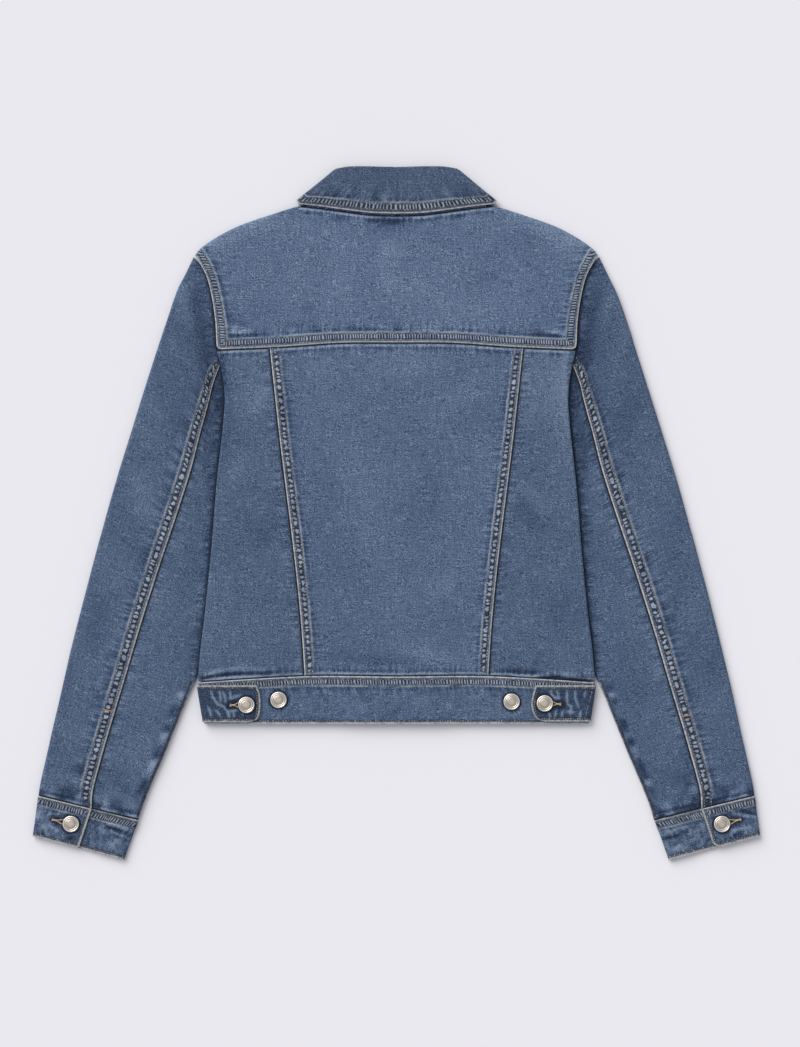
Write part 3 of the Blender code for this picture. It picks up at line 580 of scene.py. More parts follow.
def on_cloth(laid, rows, columns):
    """Points on a laid piece's outer face, and the way out of it, at fractional rows and columns."""
    rows, columns = np.broadcast_arrays(np.asarray(rows, float), np.asarray(columns, float))
    r = np.clip(np.floor(rows).astype(int), 0, laid.outer.shape[0] - 2)
    c = np.clip(np.floor(columns).astype(int), 0, laid.outer.shape[1] - 2)
    t, s = (rows - r)[..., None], (columns - c)[..., None]
    return [
        (g[r, c] * (1 - s) + g[r, c + 1] * s) * (1 - t)
        + (g[r + 1, c] * (1 - s) + g[r + 1, c + 1] * s) * t
        for g in (laid.outer, laid.normal)
    ]


# One stitch: a grain of thread with pointed ends that dip into the cloth. Each ring's place along
# it, width and lift are shares of the stitch's length, width and height
StitchRing = namedtuple("StitchRing", "place width lift")
STITCH_RINGS = (
    StitchRing(-0.5, 0.0, -0.5),
    StitchRing(-0.32, 0.85, 0.15),
    StitchRing(0.0, 1.0, 0.35),
    StitchRing(0.32, 0.85, 0.15),
    StitchRing(0.5, 0.0, -0.5),
)
STITCH_SIDES = 6


def at_ways(values, ways, wanted):
    """The points of a line, or its ways out, at the wanted ways along it."""
    return np.stack([np.interp(wanted, ways, values[:, k]) for k in range(3)], -1)


def stitched(name, runs, material, pitch=3.0, length=2.4, width=1.0, height=0.5, across=False, seed=5):
    """Rows of stitches as one mesh. Across, they lie side by side over the line, as in a bar tack."""
    dice = np.random.default_rng(seed)
    shape = []
    for ring in STITCH_RINGS:
        if ring.width == 0:
            shape.append((ring.place, 0, ring.lift))
            continue
        for angle in np.arange(STITCH_SIDES) * 2 * math.pi / STITCH_SIDES:
            across_it, up = ring.width * math.cos(angle) / 2, ring.width * math.sin(angle) / 2
            shape.append((ring.place, across_it, up + ring.lift))
    shape = np.array(shape)
    faces = []
    first, last = 0, len(shape) - 1
    rings = [1 + STITCH_SIDES * i for i in range(len(STITCH_RINGS) - 2)]
    for i in range(STITCH_SIDES):
        j = (i + 1) % STITCH_SIDES
        faces.append((first, rings[0] + j, rings[0] + i))
        for low, high in zip(rings, rings[1:]):
            faces.append((low + i, low + j, high + j, high + i))
        faces.append((last, rings[-1] + i, rings[-1] + j))
    spots, outs, ways = [], [], []
    for points, normals in runs:
        gaps = np.linalg.norm(np.diff(points, axis=0), axis=1)
        far = np.concatenate([[0], np.cumsum(gaps)])
        count = max(2, int(far[-1] / pitch))
        at = (np.arange(count) + 0.5) * far[-1] / count
        spots.append(at_ways(points, far, at))
        outs.append(at_ways(normals, far, at))
        ways.append(at_ways(points, far, at + 0.4) - at_ways(points, far, at - 0.4))
    spots, outs, ways = np.concatenate(spots), np.concatenate(outs), np.concatenate(ways)
    ways /= np.linalg.norm(ways, axis=1, keepdims=True)
    outs -= (outs * ways).sum(1, keepdims=True) * ways
    outs /= np.linalg.norm(outs, axis=1, keepdims=True)
    sides_way = np.cross(outs, ways)
    if across:
        ways, sides_way = sides_way, -ways
    count = len(spots)
    tilt = dice.uniform(-0.10, 0.10, (count, 1))
    ways, sides_way = ways + sides_way * tilt, sides_way - ways * tilt
    size = length * dice.uniform(0.92, 1.08, (count, 1, 1))
    verts = (
        spots[:, None]
        + ways[:, None] * shape[None, :, 0:1] * size
        + sides_way[:, None] * shape[None, :, 1:2] * width
        + outs[:, None] * shape[None, :, 2:3] * height
    )
    verts = (verts + (0, CENTRE_Y, 0)) * MM
    mesh = bpy.data.meshes.new(name)
    offsets = np.arange(count) * len(shape)
    all_faces = [tuple(int(v) + int(o) for v in f) for o in offsets for f in faces]
    mesh.from_pydata(verts.reshape(-1, 3).tolist(), [], all_faces)
    worn = np.clip(dice.normal(0.5, 0.26, count), 0, 1)
    worn = np.repeat(worn, len(shape)).astype(np.float32)
    mesh.attributes.new("worn", "FLOAT", "POINT").data.foreach_set("value", worn)
    mesh.materials.append(material)
    mesh.shade_smooth()
    piece = bpy.data.objects.new(name, mesh)
    bpy.context.scene.collection.objects.link(piece)
    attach(piece, "root")
    return piece


def fasten(laid, node):
    """The piece stands for its node, which is hidden, and hangs from the root."""
    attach(laid.piece, "root")
    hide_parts(node)


BACK_CREASES = (
    Crease(-52, -14, -48, -48, 12, -0.3),
    Crease(-44, 146, 50, 148, 16, 0.5),
    Crease(44, 62, 20, -30, 20, -0.45),
    Crease(70, -60, 30, -92, 14, 0.4),
    Crease(-96, 118, -84, 44, 12, 0.4),
    Crease(90, 132, 40, 102, 13, 0.45),
    Crease(-70, -150, 40, -157, 6, -0.7),
    Crease(10, -146, 88, -153, 7, 0.5),
)
# Rows lie closer by the waist and the yoke, where the cloth is drawn into small creases
BODY_ROWS = np.concatenate(
    [[0], even(0, 0.055, 0.0042), even(0.055, 0.955, 0.0078), even(0.955, 1, 0.0045), [1]]
)
shares = BODY_ROWS[:, None]
half = column(BACK_SEAM, "y", "x", body_row_y(110, shares)) - SEAM / 2
edge = insets()
middle = even(0, 1, 1 / 72)
inner_edge = half - edge[-1]
xs = np.concatenate(
    [-half + edge, -inner_edge + 2 * inner_edge * middle, half - edge[::-1]], axis=1
)
ys = body_row_y(xs, shares)
away = half - np.abs(xs)
folds = creases(BACK_CREASES, xs, ys)
folds += puckers(ys, np.maximum(away - 10, 0), 21) * step(10, 13, away)
folds += puckers(xs, yoke_y(xs) - ys, 31) + puckers(xs, ys - waist_y(xs), 33, depth=0.45)
folds += 0.16 * wander(xs + 0.3 * ys, 34, 41) + 0.14 * wander(ys - 0.2 * xs, 41, 43)
points = np.stack([xs, ys, back_top(xs, ys) - CLOTH], -1)
marks = [
    lapped(ys + RIGHT_START * (xs > 0), away, CHAIN),
    runs_under(xs, yoke_y(xs) - SEAM / 2 - ys),
    runs_under(xs, ys - waist_y(xs)),
]
low = -0.03 * step(-10, -120, ys)
back_centre = lay("back_centre_panel", points, fell_relief(away), folds, marks, BODY, dye=low)
rows = np.arange(len(shares))
last = xs.shape[1] - 1
runs = [on_cloth(back_centre, rows, c) for k in FELL_ROWS for c in (k, last - k)]
sewing = stitched("stitching_back_seams", runs, faded_thread, seed=51)
fasten(back_centre, "back_centre")

# ---------------------------------------------------------------------------- Back side panels
# Two panels of the same denim. Each runs under the centre panel's felled edge, and at the body's
# side it turns round to the front, where its seam is out of sight. The fold stands over the sleeve
# that lies under it.

WRAP = 12.0  # how far the back turns round to the front
CLOSURE_RISE = 2.8  # how far the fronts rise over their buttons
LEAF_RISE = 2.4  # and over the collar's leaves
UNDERARM_Y = 112.0  # how high the side seams reach
FOLD_POINTS = 13
FAR = 400.0  # how far off a seam is where it doesn't show
HALVES = ((-1, "left"), (1, "right"))  # the sign of X on each half, and the word in its names

# The sleeve's outline from the shoulder to the cuff: its outer and inner folds, and the share of the
# way between them at which the elbow seam lies
Sleeve = namedtuple("Sleeve", "outer_x outer_y inner_x inner_y seam")
SLEEVES = (
    Sleeve(206.5, 260.7, 167.0, 112.0, 0.64),
    Sleeve(224.9, 221.3, 161.5, 90.0, 0.617),
    Sleeve(239.2, 180.5, 152.0, 63.0, 0.555),
    Sleeve(254.5, 133.6, 144.5, 32.0, 0.50),
    Sleeve(269.8, 84.7, 143.5, -1.0, 0.478),
    Sleeve(285.1, 35.7, 152.5, -36.0, 0.472),
    Sleeve(302.4, -25.5, 170.9, -86.7, 0.465),
    Sleeve(321.8, -98.9, 192.3, -142.8, 0.462),
    Sleeve(337.1, -160.1, 212.7, -188.7, 0.475),
    Sleeve(350.9, -221.3, 236.1, -245.8, 0.48),
    Sleeve(362.1, -270.3, 255.5, -291.7, 0.50),
    Sleeve(365.4, -289.0, 263.4, -314.0, 0.535),
)
# A collar leaf under the front, from the neck's side to its point and back to the centre
LEAF_OUTLINE = (
    SeamPoint(101.5, 320),
    SeamPoint(96.5, 282.5),
    SeamPoint(80.1, 241.7),
    SeamPoint(59.7, 204),
    SeamPoint(6, 262),
)


def underarm_fold_x(y):
    """Where the sleeve's inner fold lies under the body."""
    inner = sorted((row.inner_y, row.inner_x) for row in SLEEVES)
    return follow([row[0] for row in inner], [row[1] for row in inner], y)


def leaf_height(x, y):
    """The rise of the fronts over the collar's leaves, which are folded under them."""
    beyond = np.full(np.broadcast(x, y).shape, -np.inf)
    for first, second in zip(LEAF_OUTLINE, LEAF_OUTLINE[1:]):
        dx, dy = second.x - first.x, second.y - first.y
        away = ((y - first.y) * dx - (np.abs(x) - first.x) * dy) / math.hypot(dx, dy)
        beyond = np.maximum(beyond, away)
    return LEAF_RISE * (1 - step(10, 30, beyond))


def sleeve_height(x, y):
    """The rise of the fronts over the tucked part of the sleeve."""
    fold = underarm_fold_x(np.minimum(y, UNDERARM_Y))
    inward = step(fold - 44, fold - 20, np.abs(x))
    below = 1 - step(114, 142, y)
    return column(SIDES, "y", "under", np.minimum(y, 100)) * inward * below


def front_under(x, y, stack=CLOSURE_RISE):
    """The height of the fronts' outer face, which is turned to the floor."""
    rises = closure_height(x, stack), leaf_height(x, y), sleeve_height(x, y)
    return np.maximum.reduce(rises)


def side_fold(y):
    """The fold's inner face at the body's side: how far out, its middle height and its radius."""
    top, under = (column(SIDES, "y", name, y) for name in ("top", "under"))
    radius = (top - under) / 2
    return side_x(y) - radius, (top + under) / 2, radius - CLOTH


def round_fold(turn, middle, radius):
    """How far out from its centre, and how high, a fold's inner face is at a turn of 1 to 2."""
    angle = math.pi / 2 - (np.asarray(turn) - 1) * math.pi
    return radius * np.cos(angle), middle + radius * np.sin(angle)


def way_along(points, axis=1):
    """How far on each point of a grid is in its row, or in its column where axis is 0."""
    first = points[:, :1] if axis else points[:1]
    return np.cumsum(np.linalg.norm(np.diff(points, axis=axis, prepend=first), axis=-1), axis)


SIDE_CREASES = {
    -1: (
        Crease(127, -20, 141, -30, 8, -0.6),
        Crease(203, -171, 180, -165.8, 1.8, -1.2),
        Crease(184, -166.2, 148, -163.6, 2.2, -1.3),
        Crease(154, -163.8, 122, -165.2, 2.0, -0.9),
        Crease(200, -167.3, 174, -160.8, 2.4, 0.9),
        Crease(180, -160.6, 126, -160.6, 2.8, 0.6),
        Crease(197, -171.0, 138, -167.2, 1.4, 1.1),
        Crease(150, 60, 170, 20, 9, 0.5),
        Crease(136, 130, 140, 96, 12, 0.6),
    ),
    1: (
        Crease(120, 14, 152, -22, 12, -0.8),
        Crease(128, 26, 158, -8, 8, 0.6),
        Crease(144, -169.0, 170, -168.8, 1.6, -1.6),
        Crease(162, -169.2, 204, -173.2, 1.6, -1.5),
        Crease(140, -166.0, 164, -164.4, 2.2, 0.5),
        Crease(158, -164.5, 190, -167.6, 2.2, 0.6),
        Crease(118, -168.0, 148, -169.0, 1.3, 0.8),
        Crease(112, -162.5, 152, -163.5, 3.0, -0.7),
        Crease(166, -64, 168, -130, 10, -0.4),
        Crease(136, 112, 140, 86, 10, 0.5),
    ),
}
shares = BODY_ROWS[:, None]
y_fold = body_row_y(190, shares)
centre, middle, radius = side_fold(y_fold)
seam_x = column(BACK_SEAM, "y", "x", body_row_y(110, shares)) + SEAM / 2
parts = np.concatenate([[0, 0.02, 0.045], even(0.045, 1, 1 / 26)])
flat_x = seam_x + (centre - seam_x) * parts
flat_y = body_row_y(flat_x, shares)
flat = np.stack([flat_x, flat_y, back_top(flat_x, flat_y) - CLOTH], -1)
reach, height = round_fold(np.linspace(1, 2, FOLD_POINTS), middle, radius)
fold = np.stack([centre + reach, y_fold + 0 * reach, height], -1)
end_x = side_x(y_fold) - WRAP
end = np.stack([end_x, y_fold, front_under(end_x, y_fold) + CLOTH], -1)
under = fold[:, -1:] + (end - fold[:, -1:]) * np.array([0.33, 0.67, 1])[:, None]
points = np.concatenate([flat, fold, under], 1)
xs, ys = points[..., 0], points[..., 1]
round_way = way_along(points)
at_fold = flat.shape[1] + FOLD_POINTS // 2
# Above the underarm the sleeve comes out through the armhole, so nothing turns under there
cut = (y_fold[:-1] > UNDERARM_Y - 12) & (np.arange(points.shape[1] - 1)[None] >= at_fold)
SIDE_BODY = (denim("washed denim sides", 0.67, 5.3), reverse)
# The armhole's felled edge comes down past the yoke, in its shade, and turns under the fold
from_fold = round_way[:, at_fold : at_fold + 1] - round_way
near_armhole = (ys > 118) & (from_fold > -4)
armhole_way = np.where(near_armhole, from_fold + 2.2 + 0.09 * (163 - ys), FAR)
fell = 0.4 * fell_relief(armhole_way)
marks = [
    runs_under(ys, round_way, CHAIN),
    runs_under(xs, yoke_y(xs) - SEAM / 2 - ys),
    runs_under(xs, ys - waist_y(xs)),
]
for side, word in HALVES:
    folds = creases(SIDE_CREASES[side], xs, ys)
    folds += puckers(ys, round_way, 61 + side, depth=0.25)
    folds += puckers(xs, yoke_y(xs) - ys, 65 + side)
    folds += puckers(xs, ys - waist_y(xs), 68 + side, depth=0.55, pitch=9)
    folds += 0.18 * wander(ys + 0.4 * xs, 37, 71 + side)
    # Painted light: a highlight down the right fold and shade down the left one, shade on the
    # armhole's edge in the yoke's shadow and light and shade on the sharp creases by the waist seam.
    # The cloth is also paler towards the armhole
    worn = 0.13 * side * np.exp(-((from_fold / 14) ** 2)) * step(10, 90, ys) * step(170, 140, ys)
    worn += 0.08 * step(70, 125, ys)
    in_band = step(7.4, 5.8, armhole_way)
    sharp = creases([c for c in SIDE_CREASES[side] if c.width < 4], xs, ys)
    worn += in_band * (0.22 * wander(ys, 1.9, 77 + side) - 0.24) + (0.28 + 0.06 * side) * sharp
    title = f"back_side_panel_{word}"
    laid = lay(title, points, fell, folds, marks, SIDE_BODY, cut=cut, dye=worn, mirrored=side < 0)
    fasten(laid, f"back_side_{word}")

# ---------------------------------------------------------------------------- Back yoke
# One piece of the same denim from armhole to armhole. It laps over the panels below it and over
# both sleeve heads with felled seams, and turns over the shoulders to the front. The collar is sewn
# into its neck.

BACK_NECK = (SeamPoint(0, 310.6), SeamPoint(48.5, 313.4), SeamPoint(78, 314.6), SeamPoint(92.5, 313.5))
SHOULDER = (
    SeamPoint(92.5, 313.5),
    SeamPoint(105.6, 310.6),
    SeamPoint(129, 303.3),
    SeamPoint(159.6, 292.7),
    SeamPoint(180, 282.5),
    SeamPoint(196.4, 271.6),
    SeamPoint(205.2, 261.0),
)
FRONT_NECK = (
    SeamPoint(-PLACKET, 254.5),
    SeamPoint(17, 255),
    SeamPoint(49.5, 265),
    SeamPoint(74.5, 284),
    SeamPoint(86, 302),
)
FRONT_ARMHOLE = (
    SeamPoint(163.0, 112),
    SeamPoint(163.2, 130),
    SeamPoint(163.7, 150),
    SeamPoint(167.8, 186),
    SeamPoint(181.5, 226),
    SeamPoint(195.7, 253.6),
)
ARMHOLE_WAY = (0.5, 0.87)  # the way out of the shoulder's end
NECK_SHARE = 0.5  # the share of the yoke's columns that end at the neck
COLLAR_EDGE = (
    SeamPoint(0, 304.2),
    SeamPoint(26, 305.0),
    SeamPoint(52.5, 308.2),
    SeamPoint(79, 311.8),
    SeamPoint(99.4, 314.0),
)
YOKE_SCALE, ARMHOLE_SCALE = 1.08, 1.25  # how wide their felled seams are, to the back's own
CORNER = 4.5  # the radius of the yoke's two lower corners


def outline(table, share):
    """The point at a share of an outline's rows, and the way that it runs there."""
    rows = np.arange(len(table))
    place = np.asarray(share, float) * (len(table) - 1)
    ahead = np.clip(place + 0.05, 0, len(table) - 1)
    behind = np.clip(place - 0.05, 0, len(table) - 1)
    x, y = (follow(rows, [getattr(r, n) for r in table], place) for n in "xy")
    dx, dy = (
        follow(rows, [getattr(r, n) for r in table], ahead)
        - follow(rows, [getattr(r, n) for r in table], behind)
        for n in "xy"
    )
    length = np.hypot(dx, dy)
    return x, y, dx / length, dy / length


def yoke_column(share):
    """One column of the yoke: its foot on the seam, its fold, the way out of it, and its height."""
    foot_x = share * (side_x(YOKE_SEAM[-1].y) - SEAM)
    if share < NECK_SHARE:
        x, y, _, _ = outline(BACK_NECK, share / NECK_SHARE)
        return foot_x, x, y, np.array([0, 1]), 0.0
    beyond = (share - NECK_SHARE) / (1 - NECK_SHARE)
    x, y, dx, dy = outline(SHOULDER, beyond)
    turned = beyond**3
    out = np.array([-dy, dx]) * (1 - turned) + np.array(ARMHOLE_WAY) * turned
    out = out / np.hypot(*out)
    return foot_x, x, y, out, float(back_top(x, y) - front_under(x, y)) / 2


def shoulder_wrap(share):
    """How far the yoke turns under the shoulder, as a move from the fold to its front seam."""
    beyond = (share - NECK_SHARE) / (1 - NECK_SHARE)
    neck = np.array([FRONT_NECK[-1].x - SHOULDER[0].x, FRONT_NECK[-1].y - SHOULDER[0].y])
    end = np.array([FRONT_ARMHOLE[-1].x - SHOULDER[-1].x, FRONT_ARMHOLE[-1].y - SHOULDER[-1].y])
    middle = WRAP * np.array([-0.35, -0.94])
    return (1 - beyond) ** 2 * neck + 2 * beyond * (1 - beyond) * middle + beyond**2 * end


YOKE_CREASES = (
    Crease(-173, 181.5, -149, 184.5, 2.0, 1.0),
    Crease(-172, 178.0, -128, 180.0, 2.2, -1.2),
    Crease(-170, 181.5, -160, 194, 1.8, 0.8),
    Crease(-176, 196, -150, 190, 3.0, -0.7),
    Crease(174, 181.5, 152, 184, 2.0, 0.9),
    Crease(173, 178.5, 132, 180.5, 2.2, -1.1),
    Crease(-97, 206, -79, 207, 6, -0.6),
    Crease(-118, 190, -76, 186, 5, -0.6),
    Crease(-60, 182, 40, 184, 4, -0.5),
    Crease(60, 183, 150, 180, 4, -0.6),
    Crease(-30, 288, 20, 287, 7, -0.5),
    Crease(120, 284, 160, 276, 6, -0.5),
    Crease(-9, 286, -8, 214, 14, 0.75),
    Crease(-30, 296.5, 18, 296.5, 3.8, -1.1),
    Crease(-70, 298, -52, 297.5, 3.0, -0.5),
    Crease(52, 300, 72, 302, 3.0, -0.5),
    Crease(64, 240, 108, 236, 15, -0.35),
    Crease(-92, 262, -62, 238, 13, -0.3),
)
half_yoke = side_x(190)
edge_shares = 1 - insets(ARMHOLE_SCALE)[::-1] / half_yoke
shares = np.concatenate([[0], even(0, edge_shares[0], 0.0165), edge_shares])
foot_rows = insets(YOKE_SCALE)
risers = [(mm, 0.0) for mm in foot_rows]
climb = np.append(even(0, 1, 1 / 60), 1)
risers += [(foot_rows[-1], p) for p in climb - 0.115 * np.sin(2 * math.pi * climb)]
side_foot_x, side_top_x, side_top_y, side_out, side_radius = yoke_column(1)
side_foot = np.array([side_foot_x, yoke_y(side_foot_x) + SEAM / 2])
side_top = np.array([side_top_x, side_top_y]) - side_out * side_radius
strips, from_foot = [], []
for share in shares:
    foot_x, fold_x, fold_y, out, radius = yoke_column(share)
    foot, fold = np.array([foot_x, yoke_y(foot_x) + SEAM / 2]), np.array([fold_x, fold_y])
    top = fold - out * radius
    length = np.hypot(*(top - foot))
    up = np.array([(mm + part * (length - mm)) / length for mm, part in risers])[:, None]
    xy = foot + (top - foot) * up
    edge_xy = side_foot + (side_top - side_foot) * up
    xy[:, 0] += share * (side_x(edge_xy[:, 1]) - SEAM - edge_xy[:, 0])
    # The lower corners are rounded off: each square of cloth there is drawn in to a quarter circle
    up_way = (top - foot) / length
    drawn = np.maximum(CORNER - up[:, 0] * length, 0), max(CORNER - (1 - share) * half_yoke, 0)
    shrink = 1 - np.maximum(*drawn) / (np.hypot(*drawn) + 1e-9)
    xy += (drawn[0] * shrink)[:, None] * up_way - (drawn[1] * shrink)[:, None] * np.array([1, 0])
    strip = np.column_stack([xy, back_top(xy[:, 0], xy[:, 1]) - CLOTH])
    level = float(back_top(*top) + front_under(*top)) / 2
    reach, height = round_fold(np.linspace(1, 2, 11)[1:], level, max(radius - CLOTH, 0.1))
    turned = np.column_stack([top + reach[:, None] * out, height])
    under = fold + (shoulder_wrap(share) if share >= NECK_SHARE else 0)
    end = np.array([*under, float(front_under(*under)) + CLOTH])
    lower = turned[-1] + (end - turned[-1]) * np.array([[0.5], [1]])
    strips.append(np.concatenate([strip, turned, lower]))
    past = np.full(len(turned) + len(lower), length + 30)
    from_foot.append(np.concatenate([up[:, 0] * length, past]))


def both_halves(right):
    """A half piece's columns with their mirror images before them."""
    right = np.array(right)
    left = right[:0:-1] * ((-1, 1, 1) if right.ndim == 3 else 1)
    return np.concatenate([left, right]).swapaxes(0, 1)


points = both_halves(strips)
from_foot = both_halves(from_foot)
across_yoke = np.concatenate([-shares[:0:-1], shares])
from_armhole = (1 - np.abs(across_yoke))[None] * half_yoke + 0 * from_foot
xs, ys = points[..., 0], points[..., 1]
fell = np.maximum(fell_relief(from_foot, YOKE_SCALE), fell_relief(from_armhole, ARMHOLE_SCALE))
folds = creases(YOKE_CREASES, xs, ys)
folds += puckers(ys, from_armhole - 10, 81, depth=0.3) * step(10, 13, from_armhole)
folds += puckers(xs, from_foot - 12, 83, depth=0.3) * step(11, 14, from_foot)
folds += 0.18 * wander(xs - 0.4 * ys, 39, 85) + 0.14 * wander(ys + 0.2 * xs, 33, 87)
near_centre = np.minimum(np.abs(across_yoke[:-1]), np.abs(across_yoke[1:]))
cut = (near_centre < NECK_SHARE)[None] & (np.arange(len(points) - 1) >= len(risers) - 1)[:, None]
# The yoke runs under the collar's edge as under a seam, so a painted shadow lies along it
collar_edge = column(COLLAR_EDGE, "x", "y", np.abs(xs))
below_collar = collar_edge - ys + FAR * (np.abs(xs) > 100)
marks = [
    lapped(xs, from_foot / YOKE_SCALE),
    lapped(ys + RIGHT_START * (xs > 0), from_armhole / ARMHOLE_SCALE),
    runs_under(xs, below_collar - 1.8),
]
YOKE_BODY = (denim("washed denim yoke", 0.835, 7.7), reverse)
# Painted light and shade on the yoke's sharp creases, and the cloth paler just below the shoulders
worn = 0.15 * creases([c for c in YOKE_CREASES if c.width < 4], xs, ys)
below_shoulder = column(SHOULDER, "x", "y", np.clip(np.abs(xs), 92.5, 205)) - ys
worn += 0.16 * np.exp(-((below_shoulder / 17) ** 2)) * step(100, 140, np.abs(xs))
back_yoke = lay("back_yoke_panel", points, fell, folds, marks, YOKE_BODY, cut=cut, dye=worn)
armhole_rows = np.arange(len(risers) + 3)
yoke_columns = np.arange(len(across_yoke))
runs = [on_cloth(back_yoke, k, yoke_columns[2:-2]) for k in FELL_ROWS]
last = len(across_yoke) - 1
runs += [on_cloth(back_yoke, armhole_rows, c) for k in FELL_ROWS for c in (k, last - k)]
sewing = stitched("stitching_yoke", runs, faded_thread, seed=53)
fasten(back_yoke, "back_yoke")

# ---------------------------------------------------------------------------- Fronts
# The two denim fronts lie under the back, face down. The wearer's right one laps over the left
# along the buttoned closure. Only their outlines show from the hem and the neck, so they are
# finished plainly, with a turned and stitched edge down each opening.

LAYER = 0.3  # between two layers that lie on each other
FRONT_SHARES = np.linspace(0, 1, 56)


def front_edge():
    """The front's outer edge from the waist up: its side seam, then its armhole."""
    heights = [body_row_y(190, s) for s in np.linspace(0, 1, 40)]
    heights = [y for y in heights if y < UNDERARM_Y - 4]
    edge = [(side_x(y) - WRAP - SEAM, y) for y in heights]
    for y in np.linspace(125, 238, 28):
        edge.append((column(FRONT_ARMHOLE, "y", "x", y) - SEAM, y))
    edge.append((FRONT_ARMHOLE[-1].x - SEAM, FRONT_ARMHOLE[-1].y - SEAM))
    return np.array(edge, float)


def front_top(share):
    """The front's top edge: the neck from the centre, then the shoulder seam."""
    if share <= NECK_SHARE:
        x, y, _, _ = outline(FRONT_NECK, share / NECK_SHARE)
        return np.array([x, y])
    x, y, _, _ = outline(SHOULDER, (share - NECK_SHARE) / (1 - NECK_SHARE))
    return np.array([x, y]) + shoulder_wrap(share) - (0, 2 * SEAM)


def hemmed(along, away):
    """The mark of a turned hem, away from its edge."""
    return Mark(along, HEM + np.maximum(away, 0))


def side_column(c, last, side):
    """A right piece's column, or the one in its place on the mirrored left piece."""
    return c if side > 0 else last - c


edge = front_edge()
top = np.array([front_top(share) for share in FRONT_SHARES])
top[-1] = edge[-1]
foot_x = -PLACKET + (edge[0, 0] + PLACKET) * FRONT_SHARES
foot = np.stack([foot_x, waist_y(foot_x) + SEAM / 2], -1)
foot[-1] = edge[0]
up = ((edge[:, 1] - edge[0, 1]) / (edge[-1, 1] - edge[0, 1]))[:, None, None]
across_front = FRONT_SHARES[None, :, None]
centre = foot[0] + (top[0] - foot[0]) * up
lengthways = foot[None] + (top - foot)[None] * up
sideways = centre + (edge[:, None] - centre) * across_front
corners = (foot[0] + (foot[-1] - foot[0]) * across_front) * (1 - up)
corners = corners + (top[0] + (top[-1] - top[0]) * across_front) * up
xy = (lengthways + sideways - corners)[:, ::-1]
rows = np.arange(len(edge))
last = len(FRONT_SHARES) - 1
for side, word, stack in ((1, "right", CLOSURE_RISE), (-1, "left", CLOSURE_RISE + CLOTH + LAYER)):
    z = front_under(xy[..., 0], xy[..., 1], stack) + CLOTH
    points = np.concatenate([xy, z[..., None]], -1)
    marks = [hemmed(xy[..., 1], xy[..., 0] + PLACKET)]
    folds = 0.12 * wander(xy[..., 0] + 0.3 * xy[..., 1], 31, 91 + side)
    laid = lay(f"front_panel_{word}", points, 0 * z, folds, marks, BODY, mirrored=side < 0)
    runs = [on_cloth(laid, rows, side_column(last - c, last, side)) for c in (1.0, 9.0)]
    sewing = stitched(f"stitching_front_{word}", runs, faded_thread, seed=55 + side)
    fasten(laid, f"front_{word}")

# ---------------------------------------------------------------------------- Sleeves
# Each sleeve is two pieces of denim: a top one, felled over the under one down the elbow and turned
# round the outer fold, and an under one turned round the inner fold. They meet on the hidden face.

FRONT_SEAM = 0.80  # the hidden seam's share of the way from the outer fold to the inner one
TUCKED = 4.4  # the sleeve's height where the body lies on it
ARMHOLE_LAP = 8.0  # how far the sleeve's head runs in under the armhole's edge
ELBOW_SCALE = 1.25
SLEEVE_FOLD_POINTS = 11


def sleeve_top(x, y):
    """The height of the sleeve's upper face, lower where the body lies on it."""
    return TUCKED + 1.9 * step(3, 32, x - side_x(y))


def sleeve_rows(place):
    """Cross lines of the sleeve: outer ends, ways inwards, widths and elbow seams."""
    rows = np.arange(len(SLEEVES))
    outer_x, outer_y, inner_x, inner_y, seam = (
        follow(rows, [getattr(row, name) for row in SLEEVES], place) for name in Sleeve._fields
    )
    outer, inner = np.stack([outer_x, outer_y], -1), np.stack([inner_x, inner_y], -1)
    width = np.linalg.norm(inner - outer, axis=-1)
    return outer, (inner - outer) / width[..., None], width, seam


def armhole_shift(place, share, upper):
    """How far out points move from the cross line to reach the armhole's edge near the head."""
    outer, way, width, _ = sleeve_rows(0.0)
    line_x = outer[0] + way[0] * width * share
    y = outer[1] + (SLEEVES[0].inner_y - outer[1]) * share
    if upper:
        x = side_x(y) - ARMHOLE_LAP * step(0.03, 0.16, share) + 1.1 * (1 - step(0, 0.1, share))
        ends = step(0, 0.05, share) * (1 - step(0.94, 1, share))
    else:
        x = column(FRONT_ARMHOLE, "y", "x", y) + 1.0
        ends = step(0, 0.12, share) * (1 - step(0.9, 1, share))
    return (x - line_x) * ends * (1 - step(0, 1.6, place))


def sleeve_piece(places, from_outer, near, shares, under_count):
    """A piece's inner face: near mm from its elbow seam, shares of the rest to its fold, round the
    fold, and on to its front seam."""
    outer, way, width, seam = sleeve_rows(places)
    towards = -1 if from_outer else 1
    at_fold = outer + way * 3 if from_outer else outer + way * (width[:, None] - 3)
    radius = sleeve_top(at_fold[:, 0], at_fold[:, 1]) / 2
    inset = radius if from_outer else width - radius
    start = seam * width + towards * SEAM / 2
    flat_width = np.abs(inset - start)[:, None]
    out = np.concatenate([near + 0 * flat_width, near[-1] + (flat_width - near[-1]) * shares], 1)
    along = start[:, None] + towards * out
    place, wide = places[:, None], width[:, None]
    shift = armhole_shift(place, along / wide, True)
    xy = outer[:, None] + way[:, None] * along[..., None]
    xy[..., 0] += shift
    flat = np.concatenate([xy, (sleeve_top(xy[..., 0], xy[..., 1]) - CLOTH)[..., None]], -1)
    turns = np.linspace(1, 2, SLEEVE_FOLD_POINTS)
    reach, height = round_fold(turns, radius[:, None], radius[:, None] - CLOTH)
    xy = outer[:, None] + way[:, None] * (inset[:, None] + towards * reach)[..., None]
    fold = np.concatenate([xy, height[..., None]], -1)
    end = FRONT_SEAM * width + towards * SEAM / 2
    along = inset[:, None] + (end - inset)[:, None] * np.arange(1, under_count + 1) / under_count
    xy = outer[:, None] + way[:, None] * along[..., None]
    xy[..., 0] += armhole_shift(place, along / wide, False)
    under = np.concatenate([xy, np.full((*along.shape, 1), CLOTH)], -1)
    return np.concatenate([flat, fold, under], 1)


